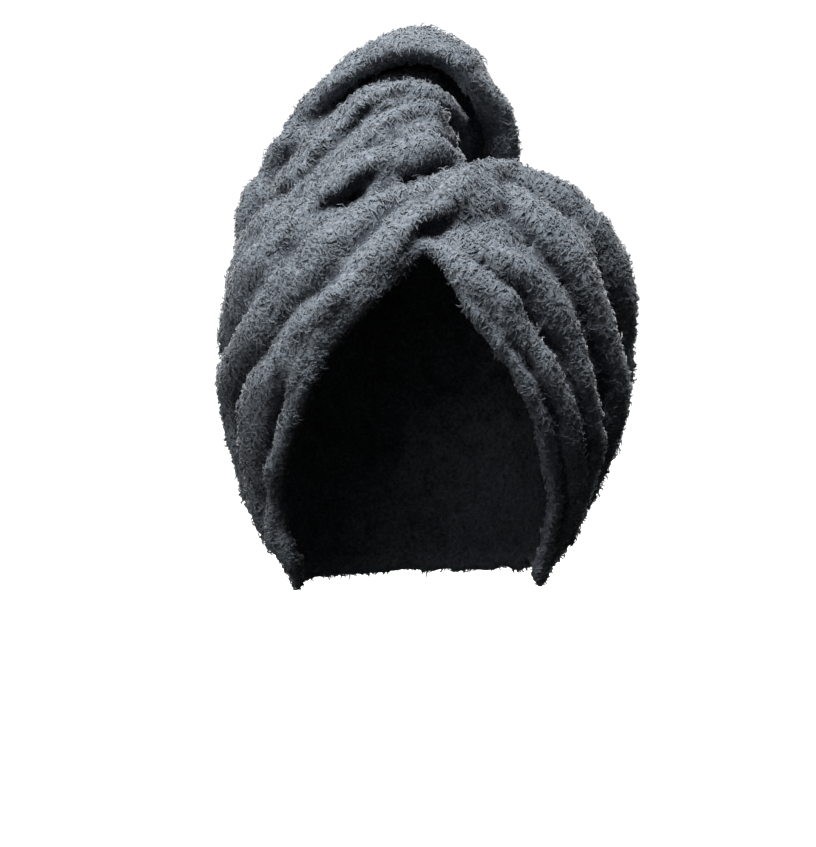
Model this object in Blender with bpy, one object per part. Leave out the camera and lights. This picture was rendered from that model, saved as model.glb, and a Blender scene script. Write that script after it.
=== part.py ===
"""Hair turban towel, in the form it has when worn.

One long-pile towelling hood wraps the head.  Its left front edge crosses over the right one above the
forehead and runs on into a wound tail, which rises, turns over towards the right, passes behind the right
shoulder of the crown and comes down the back to a button and loop at the nape.

Frame: metres, +Z up, the face opening looks along -Y, +X is the viewer's right.
Origin: the inside of the crown, where the top of a head carries the hood.

Pieces
    hood        hollow cloth wall, open to the face and to the neck
    tail        the wound tail, lying on the hood
    nape_clasp  plain button with its cord loop, at the nape

The numbers below are millimetres; the meshes are written in metres.
"""
import math

import bmesh
import bpy
import numpy as np

MM = 0.001

# ---------------------------------------------------------------- named sizes (mm)
WALL = 6.5                 # towelling with pile on both faces
HOOD_CENTRE = (0.0, 5.0, -88.0)    # the hood's radii are measured from here
WIDEST_Z = -70.0           # height of the widest section
DOME_HEIGHT = 74.0         # from the widest section up to the crown, outside
DOME_POWER = 2.55          # fullness of the dome, 2 is an ellipse
PLAN_POWER = 2.2           # fullness of the level sections
EDGE_ROUND = 4.5           # rounding of the cloth's edges
HEM_ROLL = 3.6             # radius of the turned hem
HEM_SET_IN = 3.6           # the hem's middle lies this far inside the edge
FOLD_BLEND = 1.0           # softness where folds meet
FOLD_FULLNESS = 0.6        # 0.5 makes a fold's section round, 1 makes it a shallow arch
FOLD_RELIEF = 1.55         # folds stand this many times as high as their table says
FOLD_SINK = 2.4            # and the cloth between them lies this far under the smooth form
STRAND_BLEND = 1.8         # softness where the tail's strands meet
TAIL_IN_WALL = 3.2         # how far the tail's hidden side reaches into the wall before it is cut away
GAP = 0.42                 # clearance left between pieces
CELL = 2.9                 # size of the sampling cell
HOOD_TRIANGLES = 5100
TAIL_TRIANGLES = 2600

ROPE_LOBES = 4             # strands seen on the wound tail
ROPE_PITCH = 120.0         # length of one turn
ROPE_DEPTH = 0.22          # depth of the grooves between them, as a share of the radius

BUTTON_RADIUS = 9.5
BUTTON_THICK = 3.6
BUTTON_SHANK_RADIUS = 3.4
LOOP_CORD_RADIUS = 1.7
LOOP_WIDTH = 10.5          # between the middles of the loop's two runs

# ---------------------------------------------------------------- hood sections
# Level sections below the dome: height, half widths to the left and right, depths to the front and back.
SECTIONS = [
    # z     left  right front  back
    (-70,   87.0, 86.0, 86.0,  98.0),
    (-95,   86.5, 84.5, 83.0,  98.0),
    (-118,  82.0, 77.5, 76.0,  93.0),
    (-140,  76.0, 68.5, 65.0,  84.0),
    (-160,  71.0, 61.0, 54.0,  75.0),
    (-180,  60.0, 51.0, 44.0,  66.0),
    (-200,  52.0, 43.0, 36.0,  58.0),
]

# Where the front is looked at from.  Points "as seen" are x and z of the line of sight in the plane of the origin.
SEEN_FROM = (-9.3, -1100.0, -108.0)

# The edge of the cloth, one closed line: up the left side of the face, over the crossing and down the right side, as
# seen, then round the nape by azimuth from the front and elevation from the level, in degrees.
EDGE_LEFT_EAR = [(-74, -55), (-69, -50)]
EDGE_SEEN = [(-68, -146), (-66, -128), (-62, -111), (-56, -96), (-47, -80), (-36, -66), (-26, -54), (-16, -43), (-10, -36),
             (-5, -31), (-1, -31), (3, -35), (7, -41), (12, -49), (19, -60), (28, -71), (37, -83), (43, -95), (49, -108),
             (53, -124), (56, -142)]
EDGE_RIGHT_EAR = [(56, -46), (61, -55), (65, -60)]
EDGE_NAPE = [(76, -61), (95, -60), (120, -57), (150, -54.5), (180, -54), (210, -54.5), (240, -56), (265, -57.5),
             (278, -58)]

# Folds that show from the front: half width, height, then the hidden start by azimuth and elevation, the part that shows
# as seen, and the hidden end by azimuth and elevation.  Left ones run up to the crossing, right ones down from it.
SEEN_FOLDS = [
    # name           width height
    ("left_hem",      7.0,  4.2, [(-80, -54), (-67, -38)], [(-66, -112), (-56, -88), (-37, -65), (-22, -49), (-13, -36)], []),
    ("left_edge",    11.0,  4.8, [(-88, -54), (-72, -24)], [(-75, -93), (-57, -67), (-40, -49), (-17, -29), (-4, -16), (9, -4)], []),
    ("left_second",  10.5,  6.0, [(-98, -52), (-92, -24)], [(-88, -94), (-75, -67), (-57, -44), (-40, -27), (-22, -9)], []),
    ("right_edge",    7.2,  4.5, [], [(5, -27), (23, -49), (40, -64), (51, -80), (58, -98), (64, -115)], [(64, -37), (80, -56)]),
    ("right_second",  8.0,  4.8, [], [(19, -24), (32, -33), (49, -49), (60, -62), (66, -76), (69, -97)], [(62, -23), (76, -41), (94, -56)]),
    ("right_third",  10.0,  5.4, [], [(31, 0), (40, -9), (58, -29), (71, -49), (78, -67), (82, -84)], [(76, -14), (90, -36), (106, -54)]),
]

# Folds of the top, the sides and the back: half width, height, then azimuth and elevation of points along each.
HIDDEN_FOLDS = [
    # name            width height
    ("left_third",     9.5,  5.2, [(-108, -50), (-100, -14), (-84, 11), (-66, 25), (-48, 38), (-32, 51)]),
    ("left_fourth",    9.5,  4.5, [(-118, -52), (-109, -10), (-95, 20), (-74, 42)]),
    ("left_fifth",    10.0,  4.5, [(-130, -54), (-121, -18), (-112, 10), (-102, 36)]),
    ("left_sixth",    10.0,  4.0, [(-148, -54), (-137, -26), (-125, 4), (-116, 28)]),
    ("back_left",     10.0,  3.8, [(-164, -53), (-149, -28), (-132, 2), (-124, 28)]),
    ("back_left_in",   9.0,  3.2, [(-178, -53), (-163, -28), (-147, 2), (-138, 26)]),
    ("right_fourth",  10.5,  6.0, [(8, 60), (44, 60), (62, 51), (74, 38), (84, 25), (93, 11), (104, -14), (118, -52)]),
    ("right_hump",    11.0,  5.0, [(2, 46), (9, 48), (17, 50), (27, 54)]),
    ("right_fifth",    9.5,  4.8, [(84, 62), (94, 44), (105, 24), (113, 2), (123, -28), (132, -52)]),
    ("right_sixth",   11.0,  4.2, [(96, 62), (106, 38), (118, 10), (130, -16), (142, -50)]),
    ("back_right",     9.0,  3.2, [(128, 54), (132, 30), (142, -4), (156, -50)]),
    ("back_right_in",  8.0,  2.6, [(146, 40), (150, 14), (160, -18), (170, -52)]),
]

# Grooves between the folds as they are seen from the front, 1.1 m away: depth, half width, then x and z of points
# along each.
SEEN_GROOVES = [
    # name             depth width
    ("under_rim",       7.0, 4.5, [(-74, 1), (-64, 11), (-57, 22), (-44, 32), (-35, 40), (-19, 49), (-5, 50), (5, 47), (12, 40), (19, 33)]),
    ("second_third",    4.8, 3.5, [(-74, -13), (-65, -7), (-57, -1), (-46, 13), (-35, 22), (-28, 31), (-19, 36), (-2, 42)]),
    ("third_fourth",    4.2, 3.5, [(-22, 22), (-12, 26), (0, 29), (6, 26), (13, 22)]),
    ("fourth_fifth",    6.5, 4.5, [(-66, -36), (-57, -22), (-46, -15), (-37, -9), (-28, 0), (-19, 5)]),
    ("fifth_inner",     3.2, 3.5, [(-13, -1), (0, 3), (12, 8)]),
    ("over_edge_band",  2.2, 3.2, [(-84, -93), (-79, -82), (-70, -73), (-62, -61), (-56, -53), (-37, -38), (-25, -21), (-15, -8)]),
    ("crossing",        8.0, 4.5, [(-9, -36), (-6, -29), (-2, -23), (4, -19)]),
    ("left_strip",      3.0, 3.5, [(-66, -169), (-68, -115), (-57, -87), (-37, -64), (-20, -47), (-11, -36)]),
    ("right_strip",     3.5, 4.0, [(12, -47), (31, -71), (45, -87), (54, -102), (58, -124), (60, -160)]),
    ("right_first",     3.8, 3.4, [(37, -41), (45, -57), (51, -69), (58, -75), (63, -89), (68, -106), (70, -129)]),
    ("right_second",    4.2, 3.2, [(30, -14), (40, -20), (49, -31), (58, -42), (65, -53), (71, -66), (76, -80), (77, -106)]),
    ("right_third",     2.6, 3.5, [(74, -27), (78, -40), (83, -56), (87, -70)]),
]

# ---------------------------------------------------------------- tail strands
# Each row of a strand: x, y, z of its middle, half width along the surface, half thickness across it.
TAIL_MIDDLE = (-12.0, 12.0, 0.0)   # the strands' thickness points away from here
TURN_EYE = (26.0, 8.0, 14.0)       # the tail turns over around this point
TAIL_STRANDS = {
    "body":   [(-66, 16, -70, 36, 10), (-58, 18, -36, 44, 22), (-42, 18, -6, 46, 27), (-22, 18, 14, 42, 27),
               (-3, 24, 23, 34, 21), (9, 38, 21, 28, 18), (8, 56, 14, 26, 19)],
    "back_body": [(-58, 48, -80, 24, 8), (-54, 54, -44, 34, 16), (-40, 54, -14, 36, 21), (-20, 54, 8, 32, 21),
                  (0, 60, 13, 28, 19), (8, 76, 2, 24, 17)],
    "behind_eye": [(2, 30, 26, 14, 10), (14, 33, 26, 16, 11), (25, 38, 14, 15, 11), (24, 50, 2, 12, 9)],
    "behind_rim": [(-66, 22, -4, 14, 9), (-54, 21, 16, 15, 10), (-34, 20, 38, 15, 10), (-10, 22, 50, 16, 10), (10, 24, 46, 14, 9),
                   (24, 30, 28, 12, 8)],
    "rim":    [(-78, 28, -84, 8, 4), (-81, 29, -56, 12, 6), (-81, 26, -28, 14, 7), (-77, 20, -8, 15, 7.5),
               (-67, 14, 9, 15, 8), (-53, 8, 26, 15, 9), (-34, 4, 45, 16, 10), (-9, 2, 58, 18, 10),
               (11, 4, 54, 18, 9), (24, 8, 42, 17, 7), (31, 15, 28, 16, 6), (31, 26, 12, 15, 6), (24, 44, 2, 13, 7)],
    "second": [(-79, 14, -62, 6, 4), (-79, 15, -34, 7, 5), (-72, 10, -13, 7, 6.5), (-59, 0, 3, 7, 8),
               (-45, -9, 17, 7, 8), (-29, -16, 30, 7, 8), (-8, -17, 37, 8, 8), (4, -12, 34, 7, 7), (9, 2, 26, 6, 7)],
    "third":  [(-80, 2, -80, 6, 4), (-82, 3, -56, 8, 5), (-77, -4, -34, 8, 6.5), (-64, -17, -15, 8, 8),
               (-42, -31, 3, 8, 9), (-20, -35, 17, 8, 9), (-3, -33, 23, 9, 9), (4, -23, 21, 8, 7), (6, -8, 12, 6, 7)],
    "fourth": [(-74, -16, -104, 6, 4), (-79, -14, -80, 8, 5), (-78, -16, -58, 9, 6), (-70, -27, -38, 10, 8),
               (-50, -40, -18, 10, 9), (-24, -47, -1, 10, 10), (-4, -45, 5, 11, 10), (5, -36, 4, 10, 8), (8, -18, -4, 8, 8)],
    "fifth":  [(-72, -34, -68, 7, 4), (-61, -46, -47, 9, 7), (-43, -55, -33, 9, 8), (-25, -58, -21, 9, 8),
               (-7, -54, -13, 9, 8), (7, -46, -7, 8, 8), (20, -32, -4, 8, 7)],
    "edge":   [(-56, -60, -84, 5, 3), (-43, -71, -62, 6, 5.5), (-20.5, -75.5, -41, 6.5, 6.5), (-2.5, -71.5, -24, 7, 7),
               (11, -61, -11, 7, 7), (23, -46, -4, 7, 7), (35, -30, -2, 6, 5)],
    "back_1": [(-78, 44, -78, 8, 4), (-79, 44, -48, 11, 7), (-74, 44, -20, 12, 8), (-60, 44, 6, 12, 8),
               (-38, 42, 29, 12, 9), (-13, 34, 44, 12, 9), (8, 33, 41, 11, 9), (20, 41, 28, 10, 8), (20, 56, 12, 10, 8)],
    "back_2": [(-66, 64, -88, 8, 4), (-69, 66, -56, 11, 7), (-64, 64, -26, 12, 8), (-48, 61, 1, 12, 9),
               (-28, 57, 20, 12, 10), (-5, 55, 30, 12, 10), (12, 59, 23, 12, 10), (16, 74, 8, 11, 9)],
    "back_3": [(-50, 80, -86, 8, 4), (-54, 82, -58, 11, 7), (-48, 80, -30, 12, 8), (-32, 77, -6, 12, 9),
               (-11, 75, 9, 12, 10), (5, 80, 6, 12, 10), (9, 94, -8, 10, 9)],
}
TURNS_ROUND_EYE = ("body",)

# The wound tail from the turn down to the nape: same columns.
ROPE = [
    (8, 56, 16, 26, 20), (10, 74, 5, 26, 19), (8, 92, -11, 25, 18), (4, 108, -36, 23, 16), (1, 114, -64, 21, 14.5),
    (0, 114, -90, 18.5, 12.5), (0, 108, -114, 15.5, 10.5), (0, 98, -136, 11.5, 7.5), (0, 91.5, -150, 8, 5),
]
CLASP_AT = (0.0, 80.0, -160.0)     # where the button's axis meets the cloth at the nape
CLASP_TILT = 27.0                  # degrees the button leans down with the cloth

# ---------------------------------------------------------------- radial map of the hood
AZ = np.linspace(-180, 180, 361)
EL = np.linspace(-85, 85, 171)
CENTRE = np.array(HOOD_CENTRE)


def table(rows, z):
    """Smooth interpolation down a table whose first column falls."""
    t = np.array(rows, float)
    x, y = t[::-1, 0], t[::-1, 1:]
    z = np.clip(z, x[0], x[-1])
    i = np.clip(np.searchsorted(x, z, side="right") - 1, 0, len(x) - 2)
    slope = np.gradient(y, x, axis=0)
    h = (x[i + 1] - x[i])[..., None]
    u = (z - x[i])[..., None] / h
    return ((1 + 2 * u) * (1 - u) ** 2 * y[i] + u * (1 - u) ** 2 * h * slope[i]
            + u * u * (3 - 2 * u) * y[i + 1] + u * u * (u - 1) * h * slope[i + 1])


def form(p):
    """Below 1 inside the smooth form that the folds stand on."""
    x, y, z = p[..., 0], p[..., 1] - CENTRE[1], p[..., 2]
    s = table(SECTIONS, np.minimum(z, WIDEST_Z))
    a = np.where(x < 0, s[..., 0], s[..., 1])
    b = np.where(y < 0, s[..., 2], s[..., 3])
    plan = ((np.abs(x) / a) ** PLAN_POWER + (np.abs(y) / b) ** PLAN_POWER) ** (1 / PLAN_POWER)
    up = np.maximum(z - WIDEST_Z, 0) / DOME_HEIGHT
    return (plan ** DOME_POWER + up ** DOME_POWER) ** (1 / DOME_POWER)


def direction(az, el):
    a, e = np.radians(az), np.radians(el)
    return np.stack([np.sin(a) * np.cos(e), -np.cos(a) * np.cos(e), np.sin(e)], -1)


def polar(p):
    v = p - CENTRE
    r = np.sqrt((v ** 2).sum(-1)) + 1e-9
    return r, np.degrees(np.arctan2(v[..., 0], -v[..., 1])), np.degrees(np.arcsin(np.clip(v[..., 2] / r, -1, 1)))


def look_up(values, az, el):
    a = (az + 180) / 360 * (len(AZ) - 1)
    e = np.clip((el - EL[0]) / (EL[-1] - EL[0]) * (len(EL) - 1), 0, len(EL) - 1.001)
    i, j = np.clip(a.astype(int), 0, len(AZ) - 2), e.astype(int)
    u, v = a - i, e - j
    return (values[i, j] * (1 - u) * (1 - v) + values[i + 1, j] * u * (1 - v)
            + values[i, j + 1] * (1 - u) * v + values[i + 1, j + 1] * u * v)


def curve(points, n):
    """Catmull-Rom curve through the rows of a table, n samples at even lengths."""
    p = np.array(points, float)
    q = np.vstack([2 * p[0] - p[1], p, 2 * p[-1] - p[-2]])
    run = np.r_[0, np.cumsum(np.sqrt(((p[1:] - p[:-1])[:, :3] ** 2).sum(1)))]
    out = []
    for s in np.linspace(0, run[-1], n):
        i = min(int(np.searchsorted(run, s, side="right")) - 1, len(p) - 2)
        t = (s - run[i]) / (run[i + 1] - run[i])
        a, b, c, d = q[i:i + 4]
        out.append(0.5 * (2 * b + (c - a) * t + (2 * a - 5 * b + 4 * c - d) * t * t + (3 * b - a - 3 * c + d) * t ** 3))
    return np.array(out)


def nearest(path, p):
    """Squared distance to a polyline, and where on it the nearest point lies."""
    best, where = np.full(len(p), 1e18), np.zeros(len(p))
    for i in range(len(path) - 1):
        a, ab = path[i], path[i + 1] - path[i]
        t = np.clip(((p - a) @ ab) / (ab @ ab), 0, 1)
        d = ((p - a - t[:, None] * ab) ** 2).sum(1)
        m = d < best
        best[m], where[m] = d[m], i + t[m]
    return best, where


def low(a, b, k):
    """Smaller of two fields, rounded where they meet: a union."""
    h = np.maximum(k - np.abs(a - b), 0) / k
    return np.minimum(a, b) - h * h * k / 4


def high(a, b, k):
    """Larger of two fields, rounded where they meet: an intersection."""
    return -low(-a, -b, k)


def ease(p, size, reach):
    """Small even wandering, so that folds do not run as if ruled."""
    x, y, z = (p / reach).T
    return size * np.stack([np.sin(1.3 * y + 2.1 * z + 0.4) + 0.6 * np.sin(2.9 * z - 1.7 * x + 1.1),
                            np.sin(1.7 * z + 1.9 * x + 2.0) + 0.6 * np.sin(2.3 * x + 2.7 * y + 0.3),
                            np.sin(1.5 * x - 2.2 * y + 1.2) + 0.6 * np.sin(3.1 * y + 1.3 * z + 2.6)], -1)


def on_form(points):
    """Azimuth and elevation where lines of sight through points as seen meet the smooth form."""
    eye, rows = np.array(SEEN_FROM), []
    for x, z in points:
        along = eye + (np.array([x, 0.0, z]) - eye) * np.linspace(0.89, 1.09, 2001)[:, None]
        depth = form(along)
        k = int(np.argmax(depth < 1)) if depth.min() < 1 else int(np.argmin(depth))
        _, az, el = polar(along[k])
        rows.append((float(az), float(el)))
    return rows


def folds():
    """Every fold of the hood: name, half width, height, and azimuth and elevation of points along it."""
    return [(name, width, height, start + on_form(shown) + end) for name, width, height, start, shown, end in SEEN_FOLDS] + HIDDEN_FOLDS


def groove_map():
    """Depth of the seen grooves over the plane that they are given in, 1 mm apart."""
    x, z = np.meshgrid(np.arange(-110, 111.0), np.arange(-200, 91.0), indexing="ij")
    q = np.stack([x.ravel(), z.ravel()], -1)
    deep = np.zeros(len(q))
    for _, depth, width, stops in SEEN_GROOVES:
        c = curve([(a, b, 0) for a, b in stops], 40)[:, :2]
        d2, s = nearest(c, q)
        end = np.minimum(s, len(c) - 1 - s) / (len(c) - 1)
        deep = np.maximum(deep, depth * np.clip(0.3 + 6 * end, 0, 1) * np.exp(-d2 / width ** 2))
    return deep.reshape(x.shape)


def grooved(p, deep):
    """How deep the seen grooves cut at each point; they fade out behind the front half."""
    k = -SEEN_FROM[1] / (p[:, 1] - SEEN_FROM[1])
    x = np.clip((p[:, 0] - SEEN_FROM[0]) * k + SEEN_FROM[0] + 110, 0, 219.9)
    z = np.clip((p[:, 2] - SEEN_FROM[2]) * k + SEEN_FROM[2] + 200, 0, 289.9)
    i, j = x.astype(int), z.astype(int)
    u, v = x - i, z - j
    d = deep[i, j] * (1 - u) * (1 - v) + deep[i + 1, j] * u * (1 - v) + deep[i, j + 1] * (1 - u) * v + deep[i + 1, j + 1] * u * v
    return d * np.clip((48 - p[:, 1]) / 18, 0, 1)


def hood_maps():
    """Radius of the smooth form, radius with folds, and distance past the edge of the cloth."""
    az, el = np.meshgrid(AZ, EL, indexing="ij")
    d = direction(az, el)
    near, far = np.full(az.shape, 20.0), np.full(az.shape, 190.0)
    for _ in range(26):
        mid = (near + far) / 2
        outside = form(CENTRE + d * mid[..., None]) > 1
        far = np.where(outside, mid, far)
        near = np.where(outside, near, mid)
    smooth = (near + far) / 2
    p = (CENTRE + d * smooth[..., None]).reshape(-1, 3)

    rise = np.zeros(len(p))
    for _, width, height, stops in folds():
        c = curve([(a, e, 0) for a, e in stops], 40)
        c = CENTRE + direction(c[:, 0], c[:, 1]) * look_up(smooth, c[:, 0], c[:, 1])[:, None]
        m = ((p > c.min(0) - width - 2) & (p < c.max(0) + width + 2)).all(1)
        d2, s = nearest(c, p[m] + ease(p[m], 1.1, 14.0))
        end = np.minimum(s, len(c) - 1 - s) / (len(c) - 1)
        lobe = height * np.clip(0.25 + 6 * end, 0, 1) * np.maximum(0, 1 - d2 / width ** 2) ** FOLD_FULLNESS
        rise[m] = high(rise[m], lobe, FOLD_BLEND)

    face = curve([(a, e, 0) for a, e in EDGE_LEFT_EAR + on_form(EDGE_SEEN) + EDGE_RIGHT_EAR + EDGE_NAPE + [(286, -55)]], 260)[:, :2]
    wrapped = np.column_stack([(face[:, 0] + 180) % 360 - 180, face[:, 1]])
    line = CENTRE + direction(wrapped[:, 0], wrapped[:, 1]) * look_up(smooth, wrapped[:, 0], wrapped[:, 1])[:, None]
    d2, _ = nearest(line, p)
    # Cloth lies above the line in the chart of azimuth and elevation.
    loop = np.vstack([face, [(face[-1, 0], -89), (face[0, 0], -89)]])
    bare = np.zeros(len(p), bool)
    e = el.ravel()
    for turn in (0, 360):
        a = az.ravel() + turn
        inside = np.zeros(len(p), bool)
        for (x1, y1), (x2, y2) in zip(loop, np.roll(loop, -1, 0)):
            if y1 != y2:
                inside ^= ((y1 > e) != (y2 > e)) & (a < (x2 - x1) * (e - y1) / (y2 - y1) + x1)
        bare |= inside
    past = np.sqrt(d2) * np.where(bare, 1, -1)
    rise = FOLD_RELIEF * rise - FOLD_SINK
    return smooth, smooth + rise.reshape(smooth.shape), past.reshape(smooth.shape), groove_map()


def hood_field(p, maps):
    """Negative inside the cloth of the hood."""
    smooth, folded, past, deep = maps
    r, az, el = polar(p)
    base, edge = look_up(smooth, az, el), look_up(past, az, el)
    f = high(r - look_up(folded, az, el) + np.minimum(grooved(p, deep), 4.5), base - WALL - r, 3.0)
    f = high(f, edge, EDGE_ROUND)
    roll = np.sqrt((edge + HEM_SET_IN) ** 2 + (r - base + WALL * 0.5) ** 2) - HEM_ROLL
    return low(f, roll, 2.0)


def strand(p, rows, away, n=28, lobes=0):
    """Negative inside a flattened strand; its thickness points away from a given point."""
    c = curve(rows, n)
    mid, size = c[:, :3], c[:, 3:]
    along = np.gradient(mid, axis=0)
    along /= np.sqrt((along ** 2).sum(1))[:, None]
    out = mid - np.array(away)
    out -= (out * along).sum(1)[:, None] * along
    out /= np.sqrt((out ** 2).sum(1))[:, None]
    side = np.cross(along, out)
    _, s = nearest(mid, p)
    i = np.clip(s.astype(int), 0, n - 2)
    u = (s - i)[:, None]
    pick = lambda rows_: rows_[i] * (1 - u) + rows_[i + 1] * u
    v, wh = p - pick(mid), pick(size)
    b, o, t = (v * pick(side)).sum(1), (v * pick(out)).sum(1), (v * pick(along)).sum(1)
    w, h = wh[:, 0], wh[:, 1]
    if lobes:
        run = np.r_[0, np.cumsum(np.sqrt(((mid[1:] - mid[:-1]) ** 2).sum(1)))]
        turn = np.arctan2(o / h, b / w) - 2 * np.pi * np.interp(s, np.arange(n), run) / ROPE_PITCH
        shape = 1 - ROPE_DEPTH * (1 - np.abs(np.cos(lobes * turn / 2)))
        w, h = w * shape, h * shape
    length = np.sqrt(b * b + o * o + t * t) + 1e-9
    k = np.sqrt((b / w) ** 2 + (o / h) ** 2 + (t / np.minimum(w, h)) ** 2) + 1e-6
    return np.where(length < 0.3, -np.minimum(w, h), length * (1 - 1 / k))


def tail_field(p, maps):
    """Negative inside the wound tail."""
    f, q = np.full(len(p), 50.0), p + ease(p, 0.8, 13.0)
    parts = [(rows, TURN_EYE if name in TURNS_ROUND_EYE else TAIL_MIDDLE, 28, 0) for name, rows in TAIL_STRANDS.items()]
    parts.append((ROPE, HOOD_CENTRE, 40, ROPE_LOBES))
    for rows, away, n, lobes in parts:
        a = np.array(rows, float)
        reach = a[:, 3:].max() + 6
        m = ((p > a[:, :3].min(0) - reach) & (p < a[:, :3].max(0) + reach)).all(1)
        f[m] = low(f[m], strand(q[m], rows, away, n, lobes), STRAND_BLEND)
    r, az, el = polar(p)
    return high(f + grooved(p, maps[3]), look_up(maps[0], az, el) - TAIL_IN_WALL - r, 1.0)


# ---------------------------------------------------------------- fields to meshes
def sample(field, lo, hi, cell):
    axes = [np.arange(a, b + cell, cell) for a, b in zip(lo, hi)]
    g = np.stack(np.meshgrid(*axes, indexing="ij"), -1)
    return field(g.reshape(-1, 3)).reshape(g.shape[:3])


def settle(f):
    """Fills the places where the inside would meet itself only along a cell's edge or at its corner."""
    f = f.copy()
    for _ in range(40):
        changed = 0
        s = f < 0
        for a in range(3):
            b, c = [k for k in range(3) if k != a]
            def at(u, v):
                o = [slice(None)] * 3
                o[b] = slice(1, None) if u else slice(0, -1)
                o[c] = slice(1, None) if v else slice(0, -1)
                return tuple(o)
            s00, s11, s01, s10 = s[at(0, 0)], s[at(1, 1)], s[at(0, 1)], s[at(1, 0)]
            for m, spot in ((s00 & s11 & ~s01 & ~s10, at(0, 1)), (s01 & s10 & ~s00 & ~s11, at(0, 0))):
                part = f[spot]
                part[m] = -0.15
                changed += int(m.sum())
        s = f < 0
        corner = lambda i, j, k: s[i:s.shape[0] - 1 + i, j:s.shape[1] - 1 + j, k:s.shape[2] - 1 + k]
        total = sum(corner(i, j, k).astype(int) for i in (0, 1) for j in (0, 1) for k in (0, 1))
        for i, j, k in ((0, 0, 0), (1, 0, 0), (0, 1, 0), (0, 0, 1)):
            pair = corner(i, j, k), corner(1 - i, 1 - j, 1 - k)
            two = (total == 2) & pair[0] & pair[1]
            six = (total == 6) & ~pair[0] & ~pair[1]
            part = f[1 - i:f.shape[0] - i, j:f.shape[1] - 1 + j, k:f.shape[2] - 1 + k]
            part[two] = -0.15
            part = f[i:f.shape[0] - 1 + i, j:f.shape[1] - 1 + j, k:f.shape[2] - 1 + k]
            part[six] = -0.15
            changed += int(two.sum() + six.sum())
        if not changed:
            break
    return f


def skin(f, lo, cell):
    """Closed quad mesh round the negative part of a sampled field, one vertex in each cell that the surface crosses."""
    f = settle(f)
    n = f.shape
    inside = f < 0
    total, count = np.zeros([k - 1 for k in n] + [3]), np.zeros([k - 1 for k in n])
    cut = lambda o: tuple(slice(o[k], n[k] - 1 + o[k]) for k in range(3))
    for a in range(3):
        b, c = [k for k in range(3) if k != a]
        for u in (0, 1):
            for v in (0, 1):
                o = [0, 0, 0]
                o[b], o[c] = u, v
                e = list(o)
                e[a] = 1
                f0, f1 = f[cut(o)], f[cut(e)]
                m = (f0 < 0) != (f1 < 0)
                at = np.zeros(m.shape + (3,))
                at[..., a], at[..., b], at[..., c] = np.where(m, f0 / np.where(m, f0 - f1, 1), 0), u, v
                total += at * m[..., None]
                count += m
    used = count > 0
    index = np.full(used.shape, -1)
    index[used] = np.arange(used.sum())
    points = (np.argwhere(used) + total[used] / count[used][:, None]) * cell + np.array(lo)
    quads = []
    for a in range(3):
        b, c = [(1, 2), (2, 0), (0, 1)][a]
        first, second = [None] * 3, [None] * 3
        first[a], second[a] = slice(0, n[a] - 1), slice(1, n[a])
        for k in (b, c):
            first[k] = second[k] = slice(1, n[k] - 1)
        m0, m1 = inside[tuple(first)], inside[tuple(second)]
        for flip, m in ((False, m0 & ~m1), (True, ~m0 & m1)):
            base = np.argwhere(m)
            base[:, b] += 1
            base[:, c] += 1
            ring = []
            for db, dc in ((-1, -1), (0, -1), (0, 0), (-1, 0)):
                q = base.copy()
                q[:, b] += db
                q[:, c] += dc
                ring.append(index[q[:, 0], q[:, 1], q[:, 2]])
            ring = np.stack(ring, 1)
            quads.append(ring[:, ::-1] if flip else ring)
    return points, np.vstack(quads)


def collection():
    return bpy.context.scene.collection


def add_object(name, mesh, material=None):
    obj = bpy.data.objects.new(name, mesh)
    collection().objects.link(obj)
    if material:
        mesh.materials.append(material)
    return obj


def mesh_from(name, points, faces):
    mesh = bpy.data.meshes.new(name)
    mesh.from_pydata((points * MM).tolist(), [], faces.tolist())
    mesh.update()
    return mesh


def applied(obj):
    """The object's mesh with its modifiers applied."""
    bpy.context.view_layer.update()
    seen = obj.evaluated_get(bpy.context.evaluated_depsgraph_get())
    return bpy.data.meshes.new_from_object(seen)


def keep_largest(mesh):
    """Drops crumbs that a cut leaves beside the main body."""
    bm = bmesh.new()
    bm.from_mesh(mesh)
    left, bodies = set(bm.verts), []
    while left:
        stack, body = [left.pop()], set()
        while stack:
            v = stack.pop()
            body.add(v)
            for e in v.link_edges:
                w = e.other_vert(v)
                if w in left:
                    left.discard(w)
                    stack.append(w)
        bodies.append(body)
    bodies.sort(key=len)
    for body in bodies[:-1]:
        bmesh.ops.delete(bm, geom=list(body), context="VERTS")
    bmesh.ops.triangulate(bm, faces=bm.faces)
    bm.to_mesh(mesh)
    bm.free()


def reduce(mesh, triangles):
    """Fewer triangles where the surface is smooth."""
    obj = add_object("reducing", mesh)
    tri = obj.modifiers.new("triangles", "TRIANGULATE")
    tri.min_vertices = 4
    mod = obj.modifiers.new("fewer", "DECIMATE")
    mod.ratio = triangles / (2 * len(mesh.polygons))
    out = applied(obj)
    bpy.data.objects.remove(obj)
    keep_largest(out)
    return out


def cut_by(mesh, others):
    """Cuts away other pieces, grown by the gap, so that pieces never touch."""
    obj = add_object("cutting", mesh)
    tools = []
    for other in others:
        tool = add_object("cutter", other.copy())
        normals = [v.normal.copy() for v in tool.data.vertices]
        for v, n in zip(tool.data.vertices, normals):
            v.co += n * GAP * MM
        tool.hide_render = True
        tool.display_type = "WIRE"
        mod = obj.modifiers.new("gap", "BOOLEAN")
        mod.operation = "DIFFERENCE"
        mod.solver = "EXACT"
        mod.object = tool
        tools.append(tool)
    out = applied(obj)
    for o in [obj] + tools:
        bpy.data.objects.remove(o)
    keep_largest(out)
    return out


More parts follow.
